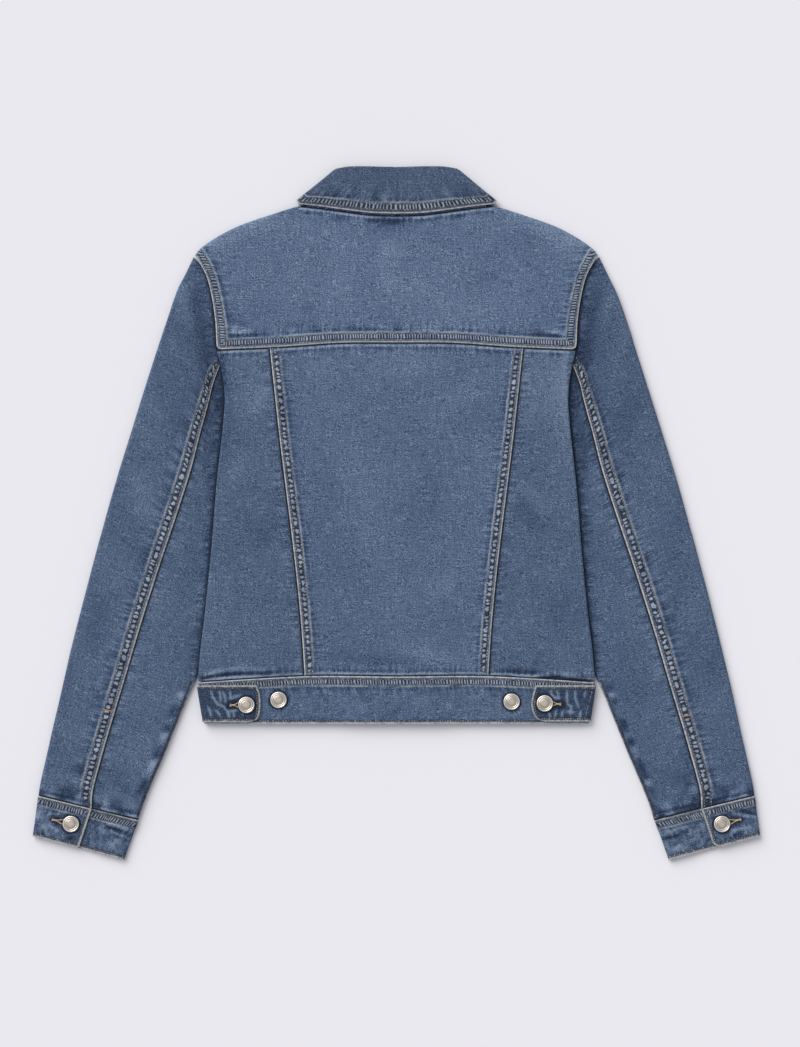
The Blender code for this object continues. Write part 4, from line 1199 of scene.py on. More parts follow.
fine = np.linspace(0, 11, 500)
outer, way, width, seam = sleeve_rows(fine)
down = outer + way * (seam * width)[:, None]
down = np.concatenate([[0], np.cumsum(np.linalg.norm(np.diff(down, axis=0), axis=1))])
DOWN = np.linspace(0, down[-1], round(down[-1] / 2.9))
PLACES = np.interp(DOWN, down, fine)
orange_thread = topstitch_thread("orange bar tack thread", "#8f5a38", "#b9794c", "#d09d74")
TACKS = {-1: -203.0, 1: -209.0}  # the height of the bar tack on each elbow seam
SLEEVE_BODY = (denim("washed denim sleeves", 0.675, 2.2), reverse)
# The body's edge throws a shadow on the sleeve, painted into the cloth: how dark it is at the
# edge, and how far out it fades
Shadow = namedtuple("Shadow", "y dye reach")
SHADOWS = (
    Shadow(-175, -0.30, 3),
    Shadow(-150, -0.40, 4),
    Shadow(-90, -0.38, 3.5),
    Shadow(-28, -0.40, 5),
    Shadow(33, -0.40, 6),
    Shadow(73, -0.42, 8),
    Shadow(114, -0.50, 13),
    Shadow(145, -0.44, 13),
    Shadow(175, -0.24, 16),
    Shadow(250, -0.12, 10),
)
SLEEVE_CREASES = {
    -1: (
        Crease(-207, 235, -193, 150, 6, -1.0),
        Crease(-196, 170, -187, 100, 6, -0.8),
        Crease(-222, 236, -208, 180, 5, 0.6),
        Crease(-240, 196, -219, 150, 5, 0.5),
        Crease(-226, 214, -236, 178, 4, -0.6),
        Crease(-350, -283, -312, -291, 5, -1.2),
        Crease(-338, -268, -326, -290, 3, -0.8),
        Crease(-290, -276, -262, -292, 4, -1.0),
        Crease(-198, 110, -186, 20, 8, -0.9),
        Crease(-214, 240, -240, 190, 13, 0.5),
        Crease(-238, 150, -216, 60, 15, -0.6),
        Crease(-266, 50, -254, -20, 14, 0.7),
        Crease(-338, -150, -356, -215, 8, -0.8),
        Crease(-236, -60, -258, -130, 13, 0.5),
        Crease(-296, -80, -316, -160, 12, -0.5),
        Crease(-270, -270, -330, -262, 6, -0.8),
        Crease(-300, -282, -356, -268, 4.5, 0.6),
    ),
    1: (
        Crease(206, 235, 193, 150, 6, -1.0),
        Crease(196, 170, 187, 100, 6, -0.8),
        Crease(221, 232, 209, 176, 5, 0.5),
        Crease(238, 190, 222, 140, 5, 0.5),
        Crease(350, -280, 322, -288, 5, -1.1),
        Crease(300, -270, 292, -296, 3, -0.8),
        Crease(199, 110, 187, 20, 8, -0.9),
        Crease(222, 232, 238, 172, 12, 0.5),
        Crease(250, 130, 222, 40, 15, -0.45),
        Crease(230, 10, 262, -60, 15, 0.5),
        Crease(300, -40, 280, -120, 13, -0.45),
        Crease(262, -140, 300, -190, 13, 0.5),
        Crease(276, -276, 336, -264, 6, -0.8),
        Crease(300, -284, 356, -270, 4.5, 0.6),
    ),
}
felled, plain = insets(ELBOW_SCALE), np.array([0.0, 1.2])
flat_shares = even(0, 1, 1 / 22)
top = sleeve_piece(PLACES, True, felled, flat_shares, 26)[::-1]
under = sleeve_piece(PLACES, False, plain, flat_shares, 12)
for side, word in HALVES:
    for points, name, near in ((top, "top", felled), (under, "under", plain)):
        lies_over = name == "top"
        xs, ys = points[..., 0], points[..., 1]
        seam_way = way_along(points)
        down = DOWN[:, None] + 0 * xs
        down = down[::-1] if lies_over else down
        at_fold = len(near) + len(flat_shares) + SLEEVE_FOLD_POINTS // 2
        hidden = FAR * (np.arange(points.shape[1]) > at_fold + 1)[None]
        beyond = np.maximum(xs - side_x(ys), 0) + hidden
        to_fold = np.abs(seam_way - seam_way[:, at_fold : at_fold + 1])
        elbow = runs_under(down, seam_way, CHAIN)
        if lies_over:
            elbow = lapped(down, seam_way / ELBOW_SCALE, CHAIN)
        # The body's edge and the cuff's top are marked as seams that the sleeve runs under, so the
        # painted seam shadow runs along both
        marks = [elbow, runs_under(ys, beyond, CHAIN), runs_under(seam_way, DOWN[-1] - down)]
        shadow = column(SHADOWS, "y", "dye", ys) * step(-185, -165, ys)
        shadow = shadow * np.exp(-((beyond / column(SHADOWS, "y", "reach", ys)) ** 1.2))
        fell = fell_relief(seam_way, ELBOW_SCALE) * lies_over
        folds = creases(SLEEVE_CREASES[side], xs * side, ys)
        if lies_over:
            folds += puckers(down, seam_way - 10, 101 + side) * step(10, 13, seam_way)
        else:
            folds += puckers(down, seam_way, 105 + side)
            low = (ys < -172) & (to_fold < 60)
            marks.append(hemmed(down, np.where(low, to_fold + 0.7, FAR)))
            # Puckers along the inner fold, raised and with painted light and shade on them
            fold_puckers = wander(down, 7.5, 109 + side) * np.exp(-(((to_fold - 7) / 3.5) ** 2))
            folds += 0.7 * fold_puckers * step(-165, -190, ys)
            shadow = shadow + 0.45 * fold_puckers * step(-165, -190, ys)
        above_cuff = DOWN[-1] - down
        folds += puckers(seam_way, above_cuff, 113 + side, depth=0.8, pitch=8, reach=10)
        # Painted shade in a band just above the cuff, uneven light and shade a little higher, and the
        # right sleeve a shade darker all over
        drawn = step(8.5, 5, above_cuff) * (0.26 + 0.22 * wander(seam_way, 11, 121 + side))
        drawn += 0.25 * wander(seam_way, 7, 125 + side) * np.exp(-(((above_cuff - 10) / 5) ** 2))
        shadow = shadow - drawn - 0.03 * (side > 0)
        folds += 0.2 * wander(down + 0.3 * seam_way, 33, 117 + side)
        title = f"sleeve_{name}_piece_{word}"
        laid = lay(
            title, points, fell, folds, marks, SLEEVE_BODY, lean=16.0, dye=shadow, mirrored=side < 0
        )
        sewn = []
        if lies_over:
            seen = np.flatnonzero(xs[:, 0] > side_x(ys[:, 0]) + 1)
            last = points.shape[1] - 1
            runs = [on_cloth(laid, seen, side_column(k, last, side)) for k in FELL_ROWS]
            sewn = [stitched(f"stitching_sleeve_{word}", runs, faded_thread, seed=57 + side)]
            tack_row = np.argmin(np.abs(ys[:, 4] - TACKS[side]))
            tack = [on_cloth(laid, tack_row, side_column(np.linspace(1.5, 8.2, 12), last, side))]
            sewn.append(stitched(f"bar_tack_{word}", tack, orange_thread, 0.6, 1.5, 0.75, 0.7, True))
        cut, area = ((0.21, 0.58), 0.088) if lies_over else ((0.14, 0.50), 0.043)
        fasten(laid, f"sleeve_{name}_{word}")

# ---------------------------------------------------------------------------- Cuffs
# A cuff is a straight band of two plies of denim sewn together, closed round the wrist by its
# button. It opens at the elbow seam, where its outer end lies over its inner one.

BAND = 1.8  # two plies, pressed
BAND_ROWS = 37
CUFF_DROP = 42.3  # the cuff's depth, from the sleeve to its lower edge
CUFF_UNDERLAP = 14.0  # how far the inner end runs under the outer one
CUFF_OUTER_RADIUS, CUFF_INNER_RADIUS = 3.3, 2.7
CUFF_FOLD_POINTS = 9
Cuff = namedtuple("Cuff", "outer_x outer_y inner_x inner_y opening")
CUFFS = (
    Cuff(365.5, -289.4, 263.5, -314.4, 0.535),
    Cuff(371.3, -330.5, 278.0, -355.0, 0.505),
)


def share_steps(count):
    """Even shares from 0 to 1, with both."""
    return np.arange(count + 1) / count


down = np.linspace(1, 0, BAND_ROWS)[:, None]
outer_x, outer_y, inner_x, inner_y, opening = (
    head + (foot - head) * down for head, foot in zip(*CUFFS)
)
outer, inner = np.stack([outer_x, outer_y], -1), np.stack([inner_x, inner_y], -1)
width = np.linalg.norm(inner - outer, axis=-1)
way = (inner - outer) / width[..., None]
opening = opening * width
over = np.concatenate([[0, 0.02, 0.04, 0.06, 0.08, 0.10], even(0.10, 1, 1 / 40)])
parts = [(opening + (CUFF_OUTER_RADIUS - opening) * over, 2 * CUFF_OUTER_RADIUS - BAND + 0 * over)]
reach, height = round_fold(
    np.linspace(1, 2, CUFF_FOLD_POINTS), CUFF_OUTER_RADIUS, CUFF_OUTER_RADIUS - BAND
)
parts.append((CUFF_OUTER_RADIUS - reach, height))
under = share_steps(30)[1:-1]
across = width - CUFF_INNER_RADIUS - CUFF_OUTER_RADIUS
parts.append((CUFF_OUTER_RADIUS + across * under, BAND + 0 * under))
reach, height = round_fold(
    np.linspace(2, 1, CUFF_FOLD_POINTS), CUFF_INNER_RADIUS, CUFF_INNER_RADIUS - BAND
)
parts.append((width - CUFF_INNER_RADIUS + reach, height))
back = share_steps(40)[1:]
start = width - CUFF_INNER_RADIUS
drop = step(0.25, 0.6, back)
level = (2 * CUFF_INNER_RADIUS - BAND) * (1 - drop) + (BAND + LAYER) * drop
parts.append((start + (opening - CUFF_UNDERLAP - start) * back, level))
along = np.concatenate([a + 0 * z + 0 * down for a, z in parts], 1)
height = np.concatenate([z + 0 * a + 0 * down for a, z in parts], 1)
xy = outer + way * along[..., None]
points = np.concatenate([xy, height[..., None]], -1)
round_way = way_along(points)
from_top = down * CUFF_DROP + 0 * round_way
from_opening = np.where(np.arange(points.shape[1]) < len(over) + 2, round_way, FAR)
CUFF_MARKS = [
    lapped(round_way, from_top),
    hemmed(from_top, from_opening),
    hemmed(round_way, CUFF_DROP - from_top),
]
CUFF_CREASES = {
    -1: (
        Crease(290, -330, 276, -334, 6, 0.5),
        Crease(353, -302, 355.8, -314, 1.5, 1.0),
        Crease(355.8, -313, 352, -321.5, 1.5, 1.0),
        Crease(353, -320, 343, -327, 1.6, 0.9),
        Crease(354, -307.4, 341, -308, 1.5, 0.8),
        Crease(364.5, -304, 366, -316, 3.0, 0.8),
        Crease(361, -318, 357, -330, 2.4, 0.7),
        Crease(360.5, -323, 359.5, -333, 1.3, -1.1),
        Crease(338, -331, 326, -334, 2.4, -1.0),
        Crease(312, -313.4, 268.6, -325.0, 1.7, 0.9),
        Crease(313, -317.0, 268.0, -329.5, 1.9, -1.3),
        Crease(300, -320, 283, -329, 1.3, 0.9),
        Crease(292, -329, 274, -335, 1.8, -0.9),
        Crease(296, -333, 286, -345, 2.0, 0.7),
    ),
    1: (
        Crease(298, -318, 318, -325, 8, 0.55),
        Crease(339.6, -326, 352, -323, 1.4, 0.9),
        Crease(350, -323.2, 364, -320.6, 1.5, 1.0),
        Crease(341.7, -326.5, 343.3, -334, 1.4, 0.9),
        Crease(355.3, -323, 357, -330, 1.4, 0.8),
        Crease(349, -304.6, 370, -309, 1.8, -1.2),
        Crease(341, -307.6, 369, -312, 1.6, 0.9),
        Crease(347, -330, 338, -333, 2.4, -1.0),
        Crease(270, -326.6, 288, -323.4, 1.8, 0.9),
        Crease(284, -323.8, 305, -318.4, 1.8, 0.8),
        Crease(294, -326.4, 313, -320.0, 2.0, -1.3),
        Crease(272, -333.4, 293, -329.4, 2.0, -1.3),
        Crease(290, -338, 284, -346, 2.0, 0.7),
    ),
}
CUFF_CORNER = {-1: 2.5, 1: 7.5}  # the radius of the overlap's two corners
CUFF_BUTTON = (331.9, -318.0)
Hole = namedtuple("Hole", "x y to_x to_y")  # a buttonhole, from its button's middle to its far end
CUFF_HOLES = {-1: Hole(*CUFF_BUTTON, 350.8, -313.6), 1: Hole(*CUFF_BUTTON, 350.9, -313.4)}


def beside_button(x, y, holes=(), buttons=()):
    """Painted shadow in the dints round buttons and buttonholes."""
    dint = np.zeros(np.shape(x))
    for spot in (*buttons, *((h.x, h.y) for h in holes)):
        away = np.hypot(x - spot[0], y - spot[1])
        dint = np.minimum(dint, -0.9 * step(10.2, 8.9, away) - 0.12 * step(13, 10, away))
    for h in holes:
        way = np.array([h.to_x - h.x, h.to_y - h.y])
        share = np.clip(((x - h.x) * way[0] + (y - h.y) * way[1]) / (way**2).sum(), 0, 1)
        away = np.hypot(x - h.x - way[0] * share, y - h.y - way[1] * share)
        dint = np.minimum(dint, -0.75 * step(2.9, 1.5, away) - 0.4 * step(8.0, 2.5, away))
    return dint


def row_at(mm, drop):
    """The row of a band that lies mm below its top, where the band is drop millimetres deep."""
    return (BAND_ROWS - 1) * (1 - mm / drop)


cuff_bands = {}
CUFF_BODY = (denim("washed denim cuffs", 0.615, 9.4, 1.4), reverse)
fell = 0.45 * fell_relief(from_top) + 0.35 * step(4, 1, CUFF_DROP - from_top)
fell += 0.25 * step(3.5, 0.5, from_opening)
gathers = puckers(round_way, from_top - 10, 131, depth=0.22) * step(10, 13, from_top)
gathers += 0.12 * wander(round_way, 21, 133)
shown = points[..., 2] > CUFF_INNER_RADIUS
up_way = np.array([way[0, 0, 1], -way[0, 0, 0]])
last = points.shape[1] - 1
top_columns = np.arange(2, len(over) + 2)
inner_start = len(over) + CUFF_FOLD_POINTS + len(under) + CUFF_FOLD_POINTS // 2
inner_columns = np.arange(inner_start, last - 3)
for side, word in HALVES:
    corner = CUFF_CORNER[side]
    drawn = np.maximum(corner - from_opening, 0), np.maximum(corner - (CUFF_DROP - from_top), 0)
    shrink = 1 - np.maximum(*drawn) / (np.hypot(*drawn) + 1e-9)
    rounded = points.copy()
    rounded[..., :2] -= (drawn[0] * shrink)[..., None] * way
    rounded[..., :2] += (drawn[1] * shrink)[..., None] * up_way
    from_curve = np.where(np.minimum(*drawn) > 0, corner - np.maximum(*drawn), FAR)
    marks = [*CUFF_MARKS, hemmed(round_way, from_curve)]
    crinkles = creases(CUFF_CREASES[side], points[..., 0], points[..., 1]) * shown
    # Painted light and shade on the crinkles, and painted shadow round the buttonhole
    shade = 0.5 * crinkles + beside_button(points[..., 0], points[..., 1], [CUFF_HOLES[side]]) * shown
    # The inner end is washed paler up to the overlap
    shade += (0.05 + 0.04 * side) * step(322, 310, points[..., 0])
    laid = lay(
        f"cuff_band_{word}", rounded, fell, gathers + 0.3 * crinkles, marks, CUFF_BODY, BAND,
        lean=14.0, dye=shade, mirrored=side < 0,
    )
    cuff_bands[side] = laid
    runs = [
        on_cloth(laid, row_at(mm, CUFF_DROP), side_column(columns, last, side))
        for mm in (3.1, 8.4, CUFF_DROP - 3.0)
        for columns in (top_columns, inner_columns)
    ]
    down_edge = row_at(np.linspace(3, CUFF_DROP - 4, 18), CUFF_DROP)
    runs.append(on_cloth(laid, down_edge, side_column(3.0, last, side)))
    sewing = stitched(f"stitching_cuff_{word}", runs, faded_thread, 2.5, 1.9, seed=61 + side)
    fasten(laid, f"cuff_{word}")

# ---------------------------------------------------------------------------- Waistband
# One band of two plies of denim goes right round the hem, from one front opening to the other. It is
# sewn over the panels with two rows of stitches along its top, and one more holds its lower edge.

FOOT_Y = -216.0  # the hem
BAND_DROP = 47.6  # the waistband's depth


def band_y(x, down):
    """The height of a waistband row, 0 at the waist seam and 1 at the hem."""
    high = waist_y(x) - SEAM / 2
    return high + (FOOT_Y - high) * down


def band_top(x, y):
    """The inner face of the waistband's back."""
    return back_top(x, y) - CLOTH


down = np.linspace(1, 0, BAND_ROWS)[:, None]
side_y = band_y(200, down)
top = column(SIDES, "y", "top", side_y) - CLOTH + BAND
under = column(SIDES, "y", "under", side_y)
radius = (top - under) / 2
centre = side_x(side_y) - radius
reach, height = round_fold(np.linspace(2, 1, 11), (top + under) / 2, radius - BAND)
front_x = np.concatenate([[-PLACKET], even(-PLACKET, 150, 5), [150]])[None] + 0 * down
back_x = centre * (1 - 2 * even(0, 1, 1 / 270))
front_y, back_y = band_y(front_x, down), band_y(back_x, down)
left_z = front_under(-front_x, front_y, CLOSURE_RISE + BAND + LAYER) + BAND
parts = [
    (front_x, front_y, front_under(front_x, front_y) + BAND),
    (centre + reach, side_y + 0 * reach, height),
    (back_x, back_y, band_top(back_x, back_y)),
    (-(centre + reach)[:, ::-1], side_y + 0 * reach, height[:, ::-1]),
    (-front_x[:, ::-1], front_y[:, ::-1], left_z[:, ::-1]),
]
points = np.concatenate([np.stack(part, -1) for part in parts], 1)[:, ::-1]
xs = points[..., 0]
round_way = way_along(points)
BAND_CREASES = (
    Crease(-112, -196, -80, -199, 7, 0.5),
    Crease(-48, -186, -14, -190, 6, -0.5),
    Crease(8, -200, 52, -192, 8, 0.4),
    Crease(-30, -207, 10, -206, 4, -0.3),
    Crease(84, -206, 128, -210, 4, 0.4),
    Crease(92, -181, 116, -183, 3, -0.5),
    Crease(-108, -183, -92, -181, 3, -0.4),
)
from_top = down * BAND_DROP + 0 * xs
marks = [lapped(round_way, from_top), hemmed(round_way, BAND_DROP - from_top)]
WAIST_BODY = (denim("washed denim waistband", 0.69, 6.1, 0.5), reverse)
clear_of_tabs = 1 - step(132, 137, np.abs(xs)) * step(3.8, 5, from_top)
fell = 0.4 * fell_relief(from_top) + 0.35 * step(4, 1, BAND_DROP - from_top)
folds = puckers(round_way, from_top - 11, 141, depth=0.3) * step(10, 13, from_top)
folds += 0.15 * wander(round_way, 19, 143)
folds += creases(BAND_CREASES, xs, points[..., 1])
fell, folds = fell * clear_of_tabs, folds * clear_of_tabs
SPARES = ((-120.2, -191.5), (117.4, -193.3))  # where the two spare buttons are
# Painted shadow round the spare buttons, on the back only
shade = beside_button(xs, points[..., 1], buttons=SPARES) * (points[..., 2] > 4)
laid = lay("waistband_band", points, fell, folds, marks, WAIST_BODY, BAND, dye=shade)
every = np.arange(points.shape[1])
# The lower rows of stitches stop where the tabs cover them
front_count = front_x.shape[1]
stretches = (
    every[3 : front_count + 6],
    every[front_count:-front_count][np.abs(xs[0, front_count:-front_count]) < 140],
    every[-front_count - 6 : -3],
)
runs = [on_cloth(laid, row_at(3.0, BAND_DROP), every[3:-3])]
for mm in (8.4, BAND_DROP - 3.0):
    runs += [on_cloth(laid, row_at(mm, BAND_DROP), columns) for columns in stretches]
sewing = stitched("stitching_waistband", runs, faded_thread, 2.6, 2.0, seed=67)
fasten(laid, "waistband")

# ---------------------------------------------------------------------------- Tabs
# A tab of two plies of denim lies on the waistband at each side, sewn in at the side seam and
# stitched round its edge. Its button takes in the hem, and a spare one is sewn further in.

TAB_TOP_Y = -176.4
Tab = namedtuple("Tab", "y end")
TABS = {
    -1: (
        Tab(-214.3, 152),
        Tab(-213, 145.5),
        Tab(-210.4, 141.6),
        Tab(-206, 139.7),
        Tab(-195, 138.6),
        Tab(-184, 139.6),
        Tab(TAB_TOP_Y, 142.6),
    ),
    1: (
        Tab(-213.6, 151),
        Tab(-211.6, 145),
        Tab(-207.5, 140.8),
        Tab(-201, 138.0),
        Tab(-190, 138.0),
        Tab(-183, 139.8),
        Tab(TAB_TOP_Y, 141.6),
    ),
}
TAB_HOLES = {-1: Hole(152.9, -196.5, 169.2, -196.8), 1: Hole(151.1, -194.9, 167.2, -195.8)}
TAB_CREASES = {
    -1: (
        Crease(189.5, -181, 186.8, -190, 1.2, 1.0),
        Crease(187.4, -188.0, 181.6, -196.4, 1.2, 1.0),
        Crease(183.4, -195.0, 174.4, -199.0, 1.2, 0.9),
        Crease(176.4, -197.6, 171.8, -203.6, 1.2, 0.9),
        Crease(180.4, -181.5, 179, -190, 1.3, 0.9),
        Crease(179.2, -188, 179.6, -195, 1.2, 0.8),
        Crease(176.6, -181.5, 173.0, -196.4, 1.3, 1.0),
        Crease(169.4, -181.5, 169.0, -190, 1.3, 0.9),
        Crease(171.6, -190.4, 156.6, -186, 2.0, 0.8),
        Crease(191.8, -197.0, 188.2, -210.5, 1.3, 0.9),
        Crease(184.2, -200.6, 178.0, -210.5, 1.2, 0.9),
        Crease(172.4, -202.6, 159.6, -201.8, 1.3, 0.9),
        Crease(172, -202.6, 170, -210.5, 1.2, 0.9),
        Crease(166.5, -202.6, 165, -210.5, 1.2, 0.7),
        Crease(159, -203, 155, -207, 1.3, 0.8),
    ),
    1: (
        Crease(157, -181, 157.7, -187, 1.3, 0.9),
        Crease(157.3, -185.4, 162.4, -190.6, 1.3, 0.9),
        Crease(160.6, -189.6, 168, -190.4, 1.6, 0.9),
        Crease(163.4, -181, 165.4, -190.2, 1.2, 0.9),
        Crease(173.4, -181, 174.3, -197.2, 1.2, 1.0),
        Crease(181.8, -181, 182.4, -191.6, 1.2, 0.9),
        Crease(182.0, -189.6, 186.2, -200, 1.2, 0.9),
        Crease(191.8, -182, 191.8, -190, 1.2, 0.8),
        Crease(173.6, -195.6, 178.4, -198.2, 1.2, 0.9),
        Crease(178, -196.6, 177.3, -207.6, 1.2, 0.9),
        Crease(172, -203.4, 183, -204, 1.3, 0.8),
        Crease(187.5, -202, 186.7, -211.6, 1.3, 1.0),
        Crease(163, -200.8, 161.3, -210.4, 1.2, 0.9),
        Crease(169.7, -200.8, 168.3, -210.4, 1.2, 0.9),
        Crease(155, -203.4, 157.1, -210.4, 1.3, 0.9),
    ),
}
tab_straps = {}
TAB_BODY = (denim("washed denim tabs", 0.525, 8.8, 0.6), reverse)
shares = np.concatenate([[0, 0.012, 0.03, 0.055], even(0.055, 1, 0.022)])[None]
for side, word in HALVES:
    tab_y = np.linspace(TABS[side][0].y, TAB_TOP_Y, BAND_ROWS)[:, None]
    depth = TAB_TOP_Y - TABS[side][0].y
    end = column(TABS[side], "y", "end", tab_y)
    top = column(SIDES, "y", "top", tab_y) - CLOTH + BAND
    under = column(SIDES, "y", "under", tab_y)
    radius = (top - under) / 2
    centre = side_x(tab_y) - radius
    flat_x = end + (centre - end) * shares
    flat_z = band_top(flat_x, tab_y) + BAND + LAYER
    reach, height = round_fold(np.linspace(1, 4 / 3, 5), (top + under) / 2, radius + LAYER)
    xs = np.concatenate([flat_x, centre + reach], 1)
    points = np.stack([xs, tab_y + 0 * xs, np.concatenate([flat_z, height], 1)], -1)
    from_end = xs - end
    from_foot, from_head = depth - (TAB_TOP_Y - tab_y) + 0 * xs, TAB_TOP_Y - tab_y + 0 * xs
    near_edge = np.minimum.reduce([from_end, from_foot, from_head])
    marks = [hemmed(xs, from_foot), hemmed(xs, from_head), hemmed(tab_y + 0 * xs, from_end)]
    fell = 0.4 * step(4.2, 1.2, near_edge) * step(-0.5, 0.8, near_edge)
    crinkles = creases(TAB_CREASES[side], xs, tab_y + 0 * xs)
    # Painted light and shade on the crinkles, the tab darker overall, and painted shadow round the
    # buttonhole
    shade = 0.95 * crinkles - 0.22 + beside_button(xs, tab_y, [TAB_HOLES[side]])
    folds = 0.25 * crinkles + 0.2 * wander(xs + tab_y, 7, 151 + side)
    laid = lay(
        f"tab_{word}_strap", points, fell, folds, marks, TAB_BODY, BAND, dye=shade, mirrored=side < 0
    )
    tab_straps[side] = laid
    last = points.shape[1] - 1
    columns = side_column(np.arange(4, last), last, side)
    down_end = row_at(np.linspace(depth - 5, depth - 31, 14), depth)
    runs = [
        on_cloth(laid, row_at(depth - 2.9, depth), columns),
        on_cloth(laid, row_at(2.8, depth), columns),
        on_cloth(laid, down_end, side_column(3.2, last, side)),
    ]
    if side > 0:
        down_side = row_at(np.linspace(depth - 3, depth - 31, 14), depth)
        runs.append(on_cloth(laid, down_side, last - np.linspace(5.4, 3.4, 14)))
    sewing = stitched(f"stitching_tab_{word}", runs, faded_thread, 2.4, 1.8, seed=71 + side)
    fasten(laid, f"tab_{word}")

# ---------------------------------------------------------------------------- Collar
# Two plies of denim sewn together along the outer edge and turned. It is sewn into the neck, stands
# up, and folds over at the roll. Its two leaves go round the neck and lie under the fronts.

# Round one half of the collar: where it is sewn, where it rolls and where its free edge lies, and
# how far it has turned over, from the back's side to the floor's
Collar = namedtuple("Collar", "sewn_x sewn_y roll_x roll_y edge_x edge_y turn")
NECK_SIDE = (93.7, 317.4, 61.6, 348.7, 99.4, 314.0)
COLLARS = (
    Collar(0, 311.4, 0, 349.8, 0, 304.2, 90),
    Collar(24, 312.2, 16, 350.3, 26, 305.0, 90),
    Collar(48.5, 314.8, 32, 350.8, 52.5, 308.2, 90),
    Collar(74, 317.0, 49, 350.6, 79, 311.8, 90),
    *(Collar(*NECK_SIDE, turn) for turn in (90, 60, 30, 0, -30, -60, -90)),
    Collar(84.6, 303.0, 57, 334, 97.5, 296, -90),
    Collar(73.4, 285.4, 47, 312, 91, 271, -90),
    Collar(48.9, 266.6, 29, 288, 78, 237, -90),
    Collar(17.3, 256.8, 8.7, 267.2, 59.7, 204, -90),
)
NECK_SIDE_OUT = (0.701, 0.713)
ROLL_SIDE_OUT = (0.92, -0.39)
COLLAR_MIDDLE = 4.35  # the height about which the collar turns over
STAND_RADIUS, FALL_RADIUS = 1.15, 3.45  # how far from that its stand and its fall lie
COLLAR_SCALE = 1.15
FALL_DEPTH = 45.0
NECK_STATIONS = 42

stations = np.concatenate(
    [np.linspace(0, 4, NECK_STATIONS), np.linspace(4, 10, 25)[1:], np.linspace(10, 14, 34)[1:]]
)
numbers = np.arange(len(COLLARS))
values = []
for name in Collar._fields:
    known = [getattr(c, name) for c in COLLARS]
    smooth = follow(numbers[:5], known[:5], np.minimum(stations, 4))
    values.append(np.where(stations < 4, smooth, np.interp(stations, numbers, known)))
sewn, roll, free = (np.stack(values[i : i + 2], -1) for i in (0, 2, 4))
turn = np.radians(values[6])
away = (roll - free) / np.linalg.norm(roll - free, axis=1)[:, None]
section = []
for share in share_steps(8):
    section.append((STAND_RADIUS, sewn + (roll - sewn) * share, share))
middle, half = (STAND_RADIUS + FALL_RADIUS) / 2, (FALL_RADIUS - STAND_RADIUS) / 2
for angle in np.linspace(0, math.pi, 9)[1:-1]:
    section.append((middle - half * math.cos(angle), roll + away * half * math.sin(angle), 1.0))
at_edge = 1 - insets(COLLAR_SCALE)[::-1] / FALL_DEPTH
fall = np.unique(np.concatenate([[0], even(0, 0.7, 0.05), at_edge]))
for share in fall:
    section.append((FALL_RADIUS, roll + (free - roll) * share, 1 - share))
strips = []
for depth, xy, near_roll in section:
    out = np.array(NECK_SIDE_OUT) * (1 - near_roll) + np.array(ROLL_SIDE_OUT) * near_roll
    xy = xy + out * depth * np.cos(turn)[:, None]
    strips.append(np.column_stack([xy, COLLAR_MIDDLE + depth * np.sin(turn)]))
half_collar = np.array(strips)[::-1]
points = np.concatenate([half_collar[:, :0:-1] * (-1, 1, 1), half_collar], 1)
from_edge = way_along(points, 0)
round_way = way_along(points)[:1] + 0 * from_edge
marks = [lapped(0.7 * round_way, from_edge / COLLAR_SCALE)]
COLLAR_BODY = (denim("washed denim collar", 0.555, 4.6, 0.2), reverse)
fell = 0.5 * fell_relief(from_edge, COLLAR_SCALE)
gathers = puckers(round_way, from_edge - 10, 161, depth=0.5, pitch=5.5) * step(9.5, 12, from_edge)
folds = gathers + 0.12 * wander(round_way + from_edge, 24, 163)
# The gathers are paler on top and darker between: partly wash wear, partly painted shade
laid = lay("collar_fold", points, fell, folds, marks, COLLAR_BODY, BAND, above=0.5, dye=0.3 * gathers)
centre_column = half_collar.shape[1] - 1
seen = np.arange(centre_column - NECK_STATIONS, centre_column + NECK_STATIONS + 1)
spots = from_edge[:, centre_column]
runs = [on_cloth(laid, np.interp(mm, spots, np.arange(len(spots))), seen) for mm in (3.6, 9.5)]
sewing = stitched("stitching_collar", runs, faded_thread, seed=79)
fasten(laid, "collar")

# ---------------------------------------------------------------------------- Buttonholes
# A keyhole buttonhole in each tab and each cuff, worked round its edge in gold thread that the wash
# has paled. Its round end lies under the button, and a bar tack closes its far end.

gold_thread = topstitch_thread("gold buttonhole thread", "#8f6f4b", "#c2a17a", "#e0cfab")


def pinned(laid, xs, ys):
    """Points on a laid piece's outer face straight above or below (xs, ys), and the way out there."""
    outer, normal = laid.outer.reshape(-1, 3), laid.normal.reshape(-1, 3)
    shown = np.flatnonzero(normal[:, 2] > 0.5)
    away = (outer[shown, 0][None] - xs[:, None]) ** 2 + (outer[shown, 1][None] - ys[:, None]) ** 2
    nearest = shown[away.argmin(1)]
    return np.stack([xs, ys, outer[nearest, 2].mean() + 0 * xs + 0.1], -1), normal[nearest]


